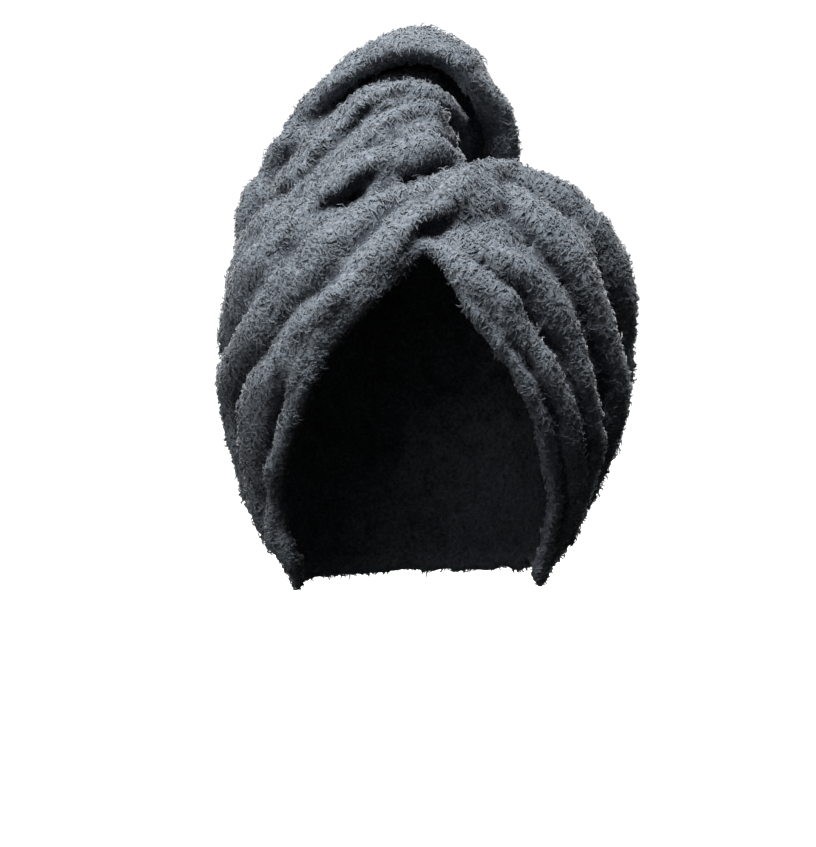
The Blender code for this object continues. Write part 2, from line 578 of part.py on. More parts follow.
# ---------------------------------------------------------------- the clasp
def turned(bm, profile, steps):
    """Solid of revolution about Z from a profile of (radius, height), closed on the axis."""
    rings = []
    for r, z in profile:
        if r == 0:
            rings.append([bm.verts.new((0, 0, z * MM))])
        else:
            rings.append([bm.verts.new((r * MM * math.cos(2 * math.pi * i / steps), r * MM * math.sin(2 * math.pi * i / steps), z * MM))
                          for i in range(steps)])
    for a, b in zip(rings, rings[1:]):
        for i in range(steps):
            j = (i + 1) % steps
            ring = [a[i % len(a)], a[j % len(a)], b[j % len(b)], b[i % len(b)]]
            ring = [v for k, v in enumerate(ring) if v not in ring[:k]]
            bm.faces.new(ring)


def clasp_mesh():
    """Button, shank and cord loop, joined into one solid.  Z is the button's axis, +Y points up the tail."""
    r, t, s = BUTTON_RADIUS, BUTTON_THICK, BUTTON_SHANK_RADIUS
    base, cord = -3.0, LOOP_CORD_RADIUS
    under = 2 * cord + 0.9
    profile = [(0, base), (s, base), (s, under), (r - 1.2, under), (r, under + 1.0), (r, under + t - 1.4), (r - 0.7, under + t - 0.5),
               (r - 1.8, under + t), (r - 3.4, under + t - 0.7), (0, under + t - 0.9)]
    bm = bmesh.new()
    turned(bm, profile, 28)
    bmesh.ops.recalc_face_normals(bm, faces=bm.faces)
    button = bpy.data.meshes.new("button")
    bm.to_mesh(button)
    bm.free()
    # The loop: round the shank, then two runs that close up towards the tail's tip.
    half = LOOP_WIDTH / 2
    path = []
    for k in range(9):
        a = math.pi + math.pi * k / 8
        path.append((half * math.cos(a), half * 0.9 * math.sin(a), cord + 0.2))
    for x, y, z in ((half * 0.95, 5.0, cord + 0.4), (half * 0.6, 9.5, cord + 1.2), (half * 0.32, 14.0, cord + 2.4)):
        path.append((x, y, z))
    path = [(-x, y, z) for x, y, z in path[:-4:-1]][::1] + path
    tips = path[:3]
    path = tips + path[3:]
    curve_data = bpy.data.curves.new("loop", "CURVE")
    curve_data.dimensions = "3D"
    curve_data.bevel_depth = cord * MM
    curve_data.bevel_resolution = 2
    curve_data.use_fill_caps = True
    spline = curve_data.splines.new("POLY")
    spline.points.add(len(path) - 1)
    for point, (x, y, z) in zip(spline.points, path):
        point.co = (x * MM, y * MM, z * MM, 1)
    loop = bpy.data.objects.new("loop", curve_data)
    collection().objects.link(loop)
    # A sewn end closes the loop where it leaves the tail.
    bm = bmesh.new()
    bmesh.ops.create_uvsphere(bm, u_segments=16, v_segments=10, radius=1.0)
    for v in bm.verts:
        v.co = (v.co.x * 4.6 * MM, (15.5 + v.co.y * 4.2) * MM, (cord + 2.6 + v.co.z * 2.4) * MM)
    knot = bpy.data.meshes.new("sewn_end")
    bm.to_mesh(knot)
    bm.free()
    # The shank meets the loop's runs through a small web, so that the clasp is one plain piece.
    bm = bmesh.new()
    bmesh.ops.create_cube(bm, size=1.0)
    for v in bm.verts:
        v.co = (v.co.x * (LOOP_WIDTH + 0.6) * MM, v.co.y * 3.0 * MM, (cord + 0.2 + v.co.z * 1.6) * MM)
    web = bpy.data.meshes.new("web")
    bm.to_mesh(web)
    bm.free()
    main = add_object("clasp_main", button)
    others = [loop, add_object("clasp_knot", knot), add_object("clasp_web", web)]
    for other in others:
        mod = main.modifiers.new("join", "BOOLEAN")
        mod.operation = "UNION"
        mod.solver = "EXACT"
        mod.object = other
    out = applied(main)
    for o in [main] + others:
        bpy.data.objects.remove(o)
    keep_largest(out)
    return out


def material(name, colour, roughness):
    m = bpy.data.materials.new(name)
    m.use_nodes = True
    shader = m.node_tree.nodes["Principled BSDF"]
    shader.inputs["Base Color"].default_value = (*colour, 1)
    shader.inputs["Roughness"].default_value = roughness
    shader.inputs["Metallic"].default_value = 0.0
    return m


def main():
    for obj in list(bpy.data.objects):
        bpy.data.objects.remove(obj)

    maps = hood_maps()
    lo, hi = (-104, -100, -206), (104, 142, 82)
    hood = reduce(mesh_from("hood", *skin(sample(lambda p: hood_field(p, maps), lo, hi, CELL), lo, CELL)), HOOD_TRIANGLES)
    tail = reduce(mesh_from("tail", *skin(sample(lambda p: tail_field(p, maps), lo, hi, CELL), lo, CELL)), TAIL_TRIANGLES)
    tail = cut_by(tail, [hood])

    clasp = clasp_mesh()
    tilt = math.radians(90 + CLASP_TILT)
    at = np.array(CLASP_AT)
    # Z of the clasp points out of the nape; its Y points up the tail.
    c, s = math.cos(tilt), math.sin(tilt)
    for v in clasp.vertices:
        x, y, z = v.co
        v.co = (x + at[0] * MM, y * -c + z * s + at[1] * MM, y * s + z * c + at[2] * MM)
    clasp.flip_normals()
    bm = bmesh.new()
    bm.from_mesh(clasp)
    bmesh.ops.recalc_face_normals(bm, faces=bm.faces)
    bm.to_mesh(clasp)
    bm.free()
    clasp = cut_by(clasp, [hood, tail])

    towelling = (0.115, 0.130, 0.148)
    frame = bpy.data.objects.new("turban", None)
    collection().objects.link(frame)
    for name, mesh, mat in (
        ("hood", hood, material("towelling_hood", towelling, 0.95)),
        ("tail", tail, material("towelling_tail", towelling, 0.95)),
        ("nape_clasp", clasp, material("button_plastic", (0.05, 0.058, 0.068), 0.4)),
    ):
        mesh.materials.clear()
        obj = add_object(name, mesh, mat)
        mesh.shade_smooth()
        mesh.set_sharp_from_angle(angle=math.radians(40))
        obj.parent = frame


main()
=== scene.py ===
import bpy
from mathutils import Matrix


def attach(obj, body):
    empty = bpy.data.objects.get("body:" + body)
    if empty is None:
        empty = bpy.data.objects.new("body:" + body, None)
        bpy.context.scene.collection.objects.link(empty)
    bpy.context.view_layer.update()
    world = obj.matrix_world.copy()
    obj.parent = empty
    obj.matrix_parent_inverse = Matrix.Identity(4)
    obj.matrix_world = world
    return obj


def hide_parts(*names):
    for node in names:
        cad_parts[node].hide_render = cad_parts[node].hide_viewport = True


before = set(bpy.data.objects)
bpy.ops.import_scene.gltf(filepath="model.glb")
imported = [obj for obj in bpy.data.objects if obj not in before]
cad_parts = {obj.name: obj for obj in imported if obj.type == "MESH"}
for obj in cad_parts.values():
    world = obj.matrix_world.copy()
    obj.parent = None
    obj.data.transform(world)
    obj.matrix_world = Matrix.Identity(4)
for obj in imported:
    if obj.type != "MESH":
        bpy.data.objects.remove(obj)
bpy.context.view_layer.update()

# Hair turban towel: the looks.
#
# The hood and the wound tail are one continuous towelling mesh, made from the same tables as the construction.  Long
# curled loops of pile stand on it as joined meshes.  Millimetres in the tables, metres in the meshes.
import math

import bpy
import numpy as np
from mathutils import Vector, kdtree

MM = 0.001

# ---------------------------------------------------------------- named sizes (mm)
WALL = 6.5                 # towelling with pile on both faces
HOOD_CENTRE = (0.0, 5.0, -88.0)    # the hood's radii are measured from here
WIDEST_Z = -70.0           # height of the widest section
DOME_HEIGHT = 74.0         # from the widest section up to the crown, outside
DOME_POWER = 2.55          # fullness of the dome, 2 is an ellipse
PLAN_POWER = 2.2           # fullness of the level sections
EDGE_ROUND = 4.5           # rounding of the cloth's edges
HEM_ROLL = 3.6             # radius of the turned hem
HEM_SET_IN = 3.6           # the hem's middle lies this far inside the edge
FOLD_BLEND = 1.0           # softness where folds meet
FOLD_FULLNESS = 0.6        # 0.5 makes a fold's section round, 1 makes it a shallow arch
FOLD_RELIEF = 1.55         # folds stand this many times as high as their table says
FOLD_SINK = 2.4            # and the cloth between them lies this far under the smooth form
STRAND_BLEND = 1.8         # softness where the tail's strands meet

ROPE_LOBES = 4             # strands seen on the wound tail
ROPE_PITCH = 120.0         # length of one turn
ROPE_DEPTH = 0.22          # depth of the grooves between them, as a share of the radius


# ---------------------------------------------------------------- hood sections
# Level sections below the dome: height, half widths to the left and right, depths to the front and back.
SECTIONS = [
    # z     left  right front  back
    (-70,   87.0, 86.0, 86.0,  98.0),
    (-95,   86.5, 84.5, 83.0,  98.0),
    (-118,  82.0, 77.5, 76.0,  93.0),
    (-140,  76.0, 68.5, 65.0,  84.0),
    (-160,  71.0, 61.0, 54.0,  75.0),
    (-180,  60.0, 51.0, 44.0,  66.0),
    (-200,  52.0, 43.0, 36.0,  58.0),
]

# Where the front is looked at from.  Points "as seen" are x and z of the line of sight in the plane of the origin.
SEEN_FROM = (-9.3, -1100.0, -108.0)

# The edge of the cloth, one closed line: up the left side of the face, over the crossing and down the right side, as
# seen, then round the nape by azimuth from the front and elevation from the level, in degrees.
EDGE_LEFT_EAR = [(-74, -55), (-69, -50)]
EDGE_SEEN = [(-68, -146), (-66, -128), (-62, -111), (-56, -96), (-47, -80), (-36, -66), (-26, -54), (-16, -43), (-10, -36),
             (-5, -31), (-1, -31), (3, -35), (7, -41), (12, -49), (19, -60), (28, -71), (37, -83), (43, -95), (49, -108),
             (53, -124), (56, -142)]
EDGE_RIGHT_EAR = [(56, -46), (61, -55), (65, -60)]
EDGE_NAPE = [(76, -61), (95, -60), (120, -57), (150, -54.5), (180, -54), (210, -54.5), (240, -56), (265, -57.5),
             (278, -58)]

# Folds that show from the front: half width, height, then the hidden start by azimuth and elevation, the part that shows
# as seen, and the hidden end by azimuth and elevation.  Left ones run up to the crossing, right ones down from it.
SEEN_FOLDS = [
    # name           width height
    ("left_hem",      7.0,  4.2, [(-80, -54), (-67, -38)], [(-66, -112), (-56, -88), (-37, -65), (-22, -49), (-13, -36)], []),
    ("left_edge",    11.0,  4.8, [(-88, -54), (-72, -24)], [(-75, -93), (-57, -67), (-40, -49), (-17, -29), (-4, -16), (9, -4)], []),
    ("left_second",  10.5,  6.0, [(-98, -52), (-92, -24)], [(-88, -94), (-75, -67), (-57, -44), (-40, -27), (-22, -9)], []),
    ("right_edge",    7.2,  4.5, [], [(5, -27), (23, -49), (40, -64), (51, -80), (58, -98), (64, -115)], [(64, -37), (80, -56)]),
    ("right_second",  8.0,  4.8, [], [(19, -24), (32, -33), (49, -49), (60, -62), (66, -76), (69, -97)], [(62, -23), (76, -41), (94, -56)]),
    ("right_third",  10.0,  5.4, [], [(31, 0), (40, -9), (58, -29), (71, -49), (78, -67), (82, -84)], [(76, -14), (90, -36), (106, -54)]),
]

# Folds of the top, the sides and the back: half width, height, then azimuth and elevation of points along each.
HIDDEN_FOLDS = [
    # name            width height
    ("left_third",     9.5,  5.2, [(-108, -50), (-100, -14), (-84, 11), (-66, 25), (-48, 38), (-32, 51)]),
    ("left_fourth",    9.5,  4.5, [(-118, -52), (-109, -10), (-95, 20), (-74, 42)]),
    ("left_fifth",    10.0,  4.5, [(-130, -54), (-121, -18), (-112, 10), (-102, 36)]),
    ("left_sixth",    10.0,  4.0, [(-148, -54), (-137, -26), (-125, 4), (-116, 28)]),
    ("back_left",     10.0,  3.8, [(-164, -53), (-149, -28), (-132, 2), (-124, 28)]),
    ("back_left_in",   9.0,  3.2, [(-178, -53), (-163, -28), (-147, 2), (-138, 26)]),
    ("right_fourth",  10.5,  6.0, [(8, 60), (44, 60), (62, 51), (74, 38), (84, 25), (93, 11), (104, -14), (118, -52)]),
    ("right_hump",    11.0,  5.0, [(2, 46), (9, 48), (17, 50), (27, 54)]),
    ("right_fifth",    9.5,  4.8, [(84, 62), (94, 44), (105, 24), (113, 2), (123, -28), (132, -52)]),
    ("right_sixth",   11.0,  4.2, [(96, 62), (106, 38), (118, 10), (130, -16), (142, -50)]),
    ("back_right",     9.0,  3.2, [(128, 54), (132, 30), (142, -4), (156, -50)]),
    ("back_right_in",  8.0,  2.6, [(146, 40), (150, 14), (160, -18), (170, -52)]),
]

# Grooves between the folds as they are seen from the front, 1.1 m away: depth, half width, then x and z of points
# along each.
SEEN_GROOVES = [
    # name             depth width
    ("under_rim",       7.0, 4.5, [(-74, 1), (-64, 11), (-57, 22), (-44, 32), (-35, 40), (-19, 49), (-5, 50), (5, 47), (12, 40), (19, 33)]),
    ("second_third",    4.8, 3.5, [(-74, -13), (-65, -7), (-57, -1), (-46, 13), (-35, 22), (-28, 31), (-19, 36), (-2, 42)]),
    ("third_fourth",    4.2, 3.5, [(-22, 22), (-12, 26), (0, 29), (6, 26), (13, 22)]),
    ("fourth_fifth",    6.5, 4.5, [(-66, -36), (-57, -22), (-46, -15), (-37, -9), (-28, 0), (-19, 5)]),
    ("fifth_inner",     3.2, 3.5, [(-13, -1), (0, 3), (12, 8)]),
    ("over_edge_band",  2.2, 3.2, [(-84, -93), (-79, -82), (-70, -73), (-62, -61), (-56, -53), (-37, -38), (-25, -21), (-15, -8)]),
    ("crossing",        8.0, 4.5, [(-9, -36), (-6, -29), (-2, -23), (4, -19)]),
    ("left_strip",      3.0, 3.5, [(-66, -169), (-68, -115), (-57, -87), (-37, -64), (-20, -47), (-11, -36)]),
    ("right_strip",     3.5, 4.0, [(12, -47), (31, -71), (45, -87), (54, -102), (58, -124), (60, -160)]),
    ("right_first",     3.8, 3.4, [(37, -41), (45, -57), (51, -69), (58, -75), (63, -89), (68, -106), (70, -129)]),
    ("right_second",    4.2, 3.2, [(30, -14), (40, -20), (49, -31), (58, -42), (65, -53), (71, -66), (76, -80), (77, -106)]),
    ("right_third",     2.6, 3.5, [(74, -27), (78, -40), (83, -56), (87, -70)]),
]

# ---------------------------------------------------------------- tail strands
# Each row of a strand: x, y, z of its middle, half width along the surface, half thickness across it.
TAIL_MIDDLE = (-12.0, 12.0, 0.0)   # the strands' thickness points away from here
TURN_EYE = (26.0, 8.0, 14.0)       # the tail turns over around this point
TAIL_STRANDS = {
    "body":   [(-66, 16, -70, 36, 10), (-58, 18, -36, 44, 22), (-42, 18, -6, 46, 27), (-22, 18, 14, 42, 27),
               (-3, 24, 23, 34, 21), (9, 38, 21, 28, 18), (8, 56, 14, 26, 19)],
    "back_body": [(-58, 48, -80, 24, 8), (-54, 54, -44, 34, 16), (-40, 54, -14, 36, 21), (-20, 54, 8, 32, 21),
                  (0, 60, 13, 28, 19), (8, 76, 2, 24, 17)],
    "behind_eye": [(2, 30, 26, 14, 10), (14, 33, 26, 16, 11), (25, 38, 14, 15, 11), (24, 50, 2, 12, 9)],
    "behind_rim": [(-66, 22, -4, 14, 9), (-54, 21, 16, 15, 10), (-34, 20, 38, 15, 10), (-10, 22, 50, 16, 10), (10, 24, 46, 14, 9),
                   (24, 30, 28, 12, 8)],
    "rim":    [(-78, 28, -84, 8, 4), (-81, 29, -56, 12, 6), (-81, 26, -28, 14, 7), (-77, 20, -8, 15, 7.5),
               (-67, 14, 9, 15, 8), (-53, 8, 26, 15, 9), (-34, 4, 45, 16, 10), (-9, 2, 58, 18, 10),
               (11, 4, 54, 18, 9), (24, 8, 42, 17, 7), (31, 15, 28, 16, 6), (31, 26, 12, 15, 6), (24, 44, 2, 13, 7)],
    "second": [(-79, 14, -62, 6, 4), (-79, 15, -34, 7, 5), (-72, 10, -13, 7, 6.5), (-59, 0, 3, 7, 8),
               (-45, -9, 17, 7, 8), (-29, -16, 30, 7, 8), (-8, -17, 37, 8, 8), (4, -12, 34, 7, 7), (9, 2, 26, 6, 7)],
    "third":  [(-80, 2, -80, 6, 4), (-82, 3, -56, 8, 5), (-77, -4, -34, 8, 6.5), (-64, -17, -15, 8, 8),
               (-42, -31, 3, 8, 9), (-20, -35, 17, 8, 9), (-3, -33, 23, 9, 9), (4, -23, 21, 8, 7), (6, -8, 12, 6, 7)],
    "fourth": [(-74, -16, -104, 6, 4), (-79, -14, -80, 8, 5), (-78, -16, -58, 9, 6), (-70, -27, -38, 10, 8),
               (-50, -40, -18, 10, 9), (-24, -47, -1, 10, 10), (-4, -45, 5, 11, 10), (5, -36, 4, 10, 8), (8, -18, -4, 8, 8)],
    "fifth":  [(-72, -34, -68, 7, 4), (-61, -46, -47, 9, 7), (-43, -55, -33, 9, 8), (-25, -58, -21, 9, 8),
               (-7, -54, -13, 9, 8), (7, -46, -7, 8, 8), (20, -32, -4, 8, 7)],
    "edge":   [(-56, -60, -84, 5, 3), (-43, -71, -62, 6, 5.5), (-20.5, -75.5, -41, 6.5, 6.5), (-2.5, -71.5, -24, 7, 7),
               (11, -61, -11, 7, 7), (23, -46, -4, 7, 7), (35, -30, -2, 6, 5)],
    "back_1": [(-78, 44, -78, 8, 4), (-79, 44, -48, 11, 7), (-74, 44, -20, 12, 8), (-60, 44, 6, 12, 8),
               (-38, 42, 29, 12, 9), (-13, 34, 44, 12, 9), (8, 33, 41, 11, 9), (20, 41, 28, 10, 8), (20, 56, 12, 10, 8)],
    "back_2": [(-66, 64, -88, 8, 4), (-69, 66, -56, 11, 7), (-64, 64, -26, 12, 8), (-48, 61, 1, 12, 9),
               (-28, 57, 20, 12, 10), (-5, 55, 30, 12, 10), (12, 59, 23, 12, 10), (16, 74, 8, 11, 9)],
    "back_3": [(-50, 80, -86, 8, 4), (-54, 82, -58, 11, 7), (-48, 80, -30, 12, 8), (-32, 77, -6, 12, 9),
               (-11, 75, 9, 12, 10), (5, 80, 6, 12, 10), (9, 94, -8, 10, 9)],
}
TURNS_ROUND_EYE = ("body",)

# The wound tail from the turn down to the nape: same columns.
ROPE = [
    (8, 56, 16, 26, 20), (10, 74, 5, 26, 19), (8, 92, -11, 25, 18), (4, 108, -36, 23, 16), (1, 114, -64, 21, 14.5),
    (0, 114, -90, 18.5, 12.5), (0, 108, -114, 15.5, 10.5), (0, 98, -136, 11.5, 7.5), (0, 91.5, -150, 8, 5),
]
CLASP_AT = (0.0, 80.0, -160.0)     # where the button's axis meets the cloth at the nape
CLASP_TILT = 27.0                  # degrees the button leans down with the cloth

# ---------------------------------------------------------------- radial map of the hood
AZ = np.linspace(-180, 180, 721)
EL = np.linspace(-85, 85, 341)
CENTRE = np.array(HOOD_CENTRE)


def table(rows, z):
    """Smooth interpolation down a table whose first column falls."""
    t = np.array(rows, float)
    x, y = t[::-1, 0], t[::-1, 1:]
    z = np.clip(z, x[0], x[-1])
    i = np.clip(np.searchsorted(x, z, side="right") - 1, 0, len(x) - 2)
    slope = np.gradient(y, x, axis=0)
    h = (x[i + 1] - x[i])[..., None]
    u = (z - x[i])[..., None] / h
    return ((1 + 2 * u) * (1 - u) ** 2 * y[i] + u * (1 - u) ** 2 * h * slope[i]
            + u * u * (3 - 2 * u) * y[i + 1] + u * u * (u - 1) * h * slope[i + 1])


def form(p):
    """Below 1 inside the smooth form that the folds stand on."""
    x, y, z = p[..., 0], p[..., 1] - CENTRE[1], p[..., 2]
    s = table(SECTIONS, np.minimum(z, WIDEST_Z))
    a = np.where(x < 0, s[..., 0], s[..., 1])
    b = np.where(y < 0, s[..., 2], s[..., 3])
    plan = ((np.abs(x) / a) ** PLAN_POWER + (np.abs(y) / b) ** PLAN_POWER) ** (1 / PLAN_POWER)
    up = np.maximum(z - WIDEST_Z, 0) / DOME_HEIGHT
    return (plan ** DOME_POWER + up ** DOME_POWER) ** (1 / DOME_POWER)


def direction(az, el):
    a, e = np.radians(az), np.radians(el)
    return np.stack([np.sin(a) * np.cos(e), -np.cos(a) * np.cos(e), np.sin(e)], -1)


def polar(p):
    v = p - CENTRE
    r = np.sqrt((v ** 2).sum(-1)) + 1e-9
    return r, np.degrees(np.arctan2(v[..., 0], -v[..., 1])), np.degrees(np.arcsin(np.clip(v[..., 2] / r, -1, 1)))


def look_up(values, az, el):
    a = (az + 180) / 360 * (len(AZ) - 1)
    e = np.clip((el - EL[0]) / (EL[-1] - EL[0]) * (len(EL) - 1), 0, len(EL) - 1.001)
    i, j = np.clip(a.astype(int), 0, len(AZ) - 2), e.astype(int)
    u, v = a - i, e - j
    return (values[i, j] * (1 - u) * (1 - v) + values[i + 1, j] * u * (1 - v)
            + values[i, j + 1] * (1 - u) * v + values[i + 1, j + 1] * u * v)


def curve(points, n):
    """Catmull-Rom curve through the rows of a table, n samples at even lengths."""
    p = np.array(points, float)
    q = np.vstack([2 * p[0] - p[1], p, 2 * p[-1] - p[-2]])
    run = np.r_[0, np.cumsum(np.sqrt(((p[1:] - p[:-1])[:, :3] ** 2).sum(1)))]
    out = []
    for s in np.linspace(0, run[-1], n):
        i = min(int(np.searchsorted(run, s, side="right")) - 1, len(p) - 2)
        t = (s - run[i]) / (run[i + 1] - run[i])
        a, b, c, d = q[i:i + 4]
        out.append(0.5 * (2 * b + (c - a) * t + (2 * a - 5 * b + 4 * c - d) * t * t + (3 * b - a - 3 * c + d) * t ** 3))
    return np.array(out)


def nearest(path, p):
    """Squared distance to a polyline, and where on it the nearest point lies."""
    best, where = np.full(len(p), 1e18), np.zeros(len(p))
    for i in range(len(path) - 1):
        a, ab = path[i], path[i + 1] - path[i]
        t = np.clip(((p - a) @ ab) / (ab @ ab), 0, 1)
        d = ((p - a - t[:, None] * ab) ** 2).sum(1)
        m = d < best
        best[m], where[m] = d[m], i + t[m]
    return best, where


def low(a, b, k):
    """Smaller of two fields, rounded where they meet: a union."""
    h = np.maximum(k - np.abs(a - b), 0) / k
    return np.minimum(a, b) - h * h * k / 4


def high(a, b, k):
    """Larger of two fields, rounded where they meet: an intersection."""
    return -low(-a, -b, k)


def ease(p, size, reach):
    """Small even wandering, so that folds do not run as if ruled."""
    x, y, z = (p / reach).T
    return size * np.stack([np.sin(1.3 * y + 2.1 * z + 0.4) + 0.6 * np.sin(2.9 * z - 1.7 * x + 1.1),
                            np.sin(1.7 * z + 1.9 * x + 2.0) + 0.6 * np.sin(2.3 * x + 2.7 * y + 0.3),
                            np.sin(1.5 * x - 2.2 * y + 1.2) + 0.6 * np.sin(3.1 * y + 1.3 * z + 2.6)], -1)


def on_form(points):
    """Azimuth and elevation where lines of sight through points as seen meet the smooth form."""
    eye, rows = np.array(SEEN_FROM), []
    for x, z in points:
        along = eye + (np.array([x, 0.0, z]) - eye) * np.linspace(0.89, 1.09, 2001)[:, None]
        depth = form(along)
        k = int(np.argmax(depth < 1)) if depth.min() < 1 else int(np.argmin(depth))
        _, az, el = polar(along[k])
        rows.append((float(az), float(el)))
    return rows


def folds():
    """Every fold of the hood: name, half width, height, and azimuth and elevation of points along it."""
    return [(name, width, height, start + on_form(shown) + end) for name, width, height, start, shown, end in SEEN_FOLDS] + HIDDEN_FOLDS


def groove_map():
    """Depth of the seen grooves over the plane that they are given in, 1 mm apart."""
    x, z = np.meshgrid(np.arange(-110, 111.0), np.arange(-200, 91.0), indexing="ij")
    q = np.stack([x.ravel(), z.ravel()], -1)
    deep = np.zeros(len(q))
    for _, depth, width, stops in SEEN_GROOVES:
        c = curve([(a, b, 0) for a, b in stops], 40)[:, :2]
        d2, s = nearest(c, q)
        end = np.minimum(s, len(c) - 1 - s) / (len(c) - 1)
        deep = np.maximum(deep, depth * np.clip(0.3 + 6 * end, 0, 1) * np.exp(-d2 / width ** 2))
    return deep.reshape(x.shape)


def grooved(p, deep):
    """How deep the seen grooves cut at each point; they fade out behind the front half."""
    k = -SEEN_FROM[1] / (p[:, 1] - SEEN_FROM[1])
    x = np.clip((p[:, 0] - SEEN_FROM[0]) * k + SEEN_FROM[0] + 110, 0, 219.9)
    z = np.clip((p[:, 2] - SEEN_FROM[2]) * k + SEEN_FROM[2] + 200, 0, 289.9)
    i, j = x.astype(int), z.astype(int)
    u, v = x - i, z - j
    d = deep[i, j] * (1 - u) * (1 - v) + deep[i + 1, j] * u * (1 - v) + deep[i, j + 1] * (1 - u) * v + deep[i + 1, j + 1] * u * v
    return d * np.clip((48 - p[:, 1]) / 18, 0, 1)


def hood_maps():
    """Radius of the smooth form, radius with folds, and distance past the edge of the cloth."""
    az, el = np.meshgrid(AZ, EL, indexing="ij")
    d = direction(az, el)
    near, far = np.full(az.shape, 20.0), np.full(az.shape, 190.0)
    for _ in range(26):
        mid = (near + far) / 2
        outside = form(CENTRE + d * mid[..., None]) > 1
        far = np.where(outside, mid, far)
        near = np.where(outside, near, mid)
    smooth = (near + far) / 2
    p = (CENTRE + d * smooth[..., None]).reshape(-1, 3)

    rise = np.zeros(len(p))
    for _, width, height, stops in folds():
        c = curve([(a, e, 0) for a, e in stops], 40)
        c = CENTRE + direction(c[:, 0], c[:, 1]) * look_up(smooth, c[:, 0], c[:, 1])[:, None]
        m = ((p > c.min(0) - width - 2) & (p < c.max(0) + width + 2)).all(1)
        d2, s = nearest(c, p[m] + ease(p[m], 1.1, 14.0))
        end = np.minimum(s, len(c) - 1 - s) / (len(c) - 1)
        lobe = height * np.clip(0.25 + 6 * end, 0, 1) * np.maximum(0, 1 - d2 / width ** 2) ** FOLD_FULLNESS
        rise[m] = high(rise[m], lobe, FOLD_BLEND)

    face = curve([(a, e, 0) for a, e in EDGE_LEFT_EAR + on_form(EDGE_SEEN) + EDGE_RIGHT_EAR + EDGE_NAPE + [(286, -55)]], 260)[:, :2]
    wrapped = np.column_stack([(face[:, 0] + 180) % 360 - 180, face[:, 1]])
    line = CENTRE + direction(wrapped[:, 0], wrapped[:, 1]) * look_up(smooth, wrapped[:, 0], wrapped[:, 1])[:, None]
    d2, _ = nearest(line, p)
    # Cloth lies above the line in the chart of azimuth and elevation.
    loop = np.vstack([face, [(face[-1, 0], -89), (face[0, 0], -89)]])
    bare = np.zeros(len(p), bool)
    e = el.ravel()
    for turn in (0, 360):
        a = az.ravel() + turn
        inside = np.zeros(len(p), bool)
        for (x1, y1), (x2, y2) in zip(loop, np.roll(loop, -1, 0)):
            if y1 != y2:
                inside ^= ((y1 > e) != (y2 > e)) & (a < (x2 - x1) * (e - y1) / (y2 - y1) + x1)
        bare |= inside
    past = np.sqrt(d2) * np.where(bare, 1, -1)
    rise = FOLD_RELIEF * rise - FOLD_SINK
    return smooth, smooth + rise.reshape(smooth.shape), past.reshape(smooth.shape), groove_map()


def hood_field(p, maps):
    """Negative inside the cloth of the hood."""
    smooth, folded, past, deep = maps
    r, az, el = polar(p)
    base, edge = look_up(smooth, az, el), look_up(past, az, el)
    f = high(r - look_up(folded, az, el) + np.minimum(grooved(p, deep), 4.5), base - WALL - r, 3.0)
    f = high(f, edge, EDGE_ROUND)
    roll = np.sqrt((edge + HEM_SET_IN) ** 2 + (r - base + WALL * 0.5) ** 2) - HEM_ROLL
    return low(f, roll, 2.0)


def strand(p, rows, away, n=28, lobes=0):
    """Negative inside a flattened strand; its thickness points away from a given point."""
    c = curve(rows, n)
    mid, size = c[:, :3], c[:, 3:]
    along = np.gradient(mid, axis=0)
    along /= np.sqrt((along ** 2).sum(1))[:, None]
    out = mid - np.array(away)
    out -= (out * along).sum(1)[:, None] * along
    out /= np.sqrt((out ** 2).sum(1))[:, None]
    side = np.cross(along, out)
    _, s = nearest(mid, p)
    i = np.clip(s.astype(int), 0, n - 2)
    u = (s - i)[:, None]
    pick = lambda rows_: rows_[i] * (1 - u) + rows_[i + 1] * u
    v, wh = p - pick(mid), pick(size)
    b, o, t = (v * pick(side)).sum(1), (v * pick(out)).sum(1), (v * pick(along)).sum(1)
    w, h = wh[:, 0], wh[:, 1]
    if lobes:
        run = np.r_[0, np.cumsum(np.sqrt(((mid[1:] - mid[:-1]) ** 2).sum(1)))]
        turn = np.arctan2(o / h, b / w) - 2 * np.pi * np.interp(s, np.arange(n), run) / ROPE_PITCH
        shape = 1 - ROPE_DEPTH * (1 - np.abs(np.cos(lobes * turn / 2)))
        w, h = w * shape, h * shape
    length = np.sqrt(b * b + o * o + t * t) + 1e-9
    k = np.sqrt((b / w) ** 2 + (o / h) ** 2 + (t / np.minimum(w, h)) ** 2) + 1e-6
    return np.where(length < 0.3, -np.minimum(w, h), length * (1 - 1 / k))


def tail_field(p, maps):
    """Negative inside the wound tail."""
    f, q = np.full(len(p), 50.0), p + ease(p, 0.8, 13.0)
    parts = [(rows, TURN_EYE if name in TURNS_ROUND_EYE else TAIL_MIDDLE, 28, 0) for name, rows in TAIL_STRANDS.items()]
    parts.append((ROPE, HOOD_CENTRE, 40, ROPE_LOBES))
    for rows, away, n, lobes in parts:
        a = np.array(rows, float)
        reach = a[:, 3:].max() + 6
        m = ((p > a[:, :3].min(0) - reach) & (p < a[:, :3].max(0) + reach)).all(1)
        f[m] = low(f[m], strand(q[m], rows, away, n, lobes), STRAND_BLEND)
    r, az, el = polar(p)
    return high(f + grooved(p, maps[3]), look_up(maps[0], az, el) - WALL * 0.5 - r, 1.0)


# ---------------------------------------------------------------- fields to meshes
def sample(field, lo, hi, cell):
    axes = [np.arange(a, b + cell, cell) for a, b in zip(lo, hi)]
    g = np.stack(np.meshgrid(*axes, indexing="ij"), -1)
    return field(g.reshape(-1, 3)).reshape(g.shape[:3])


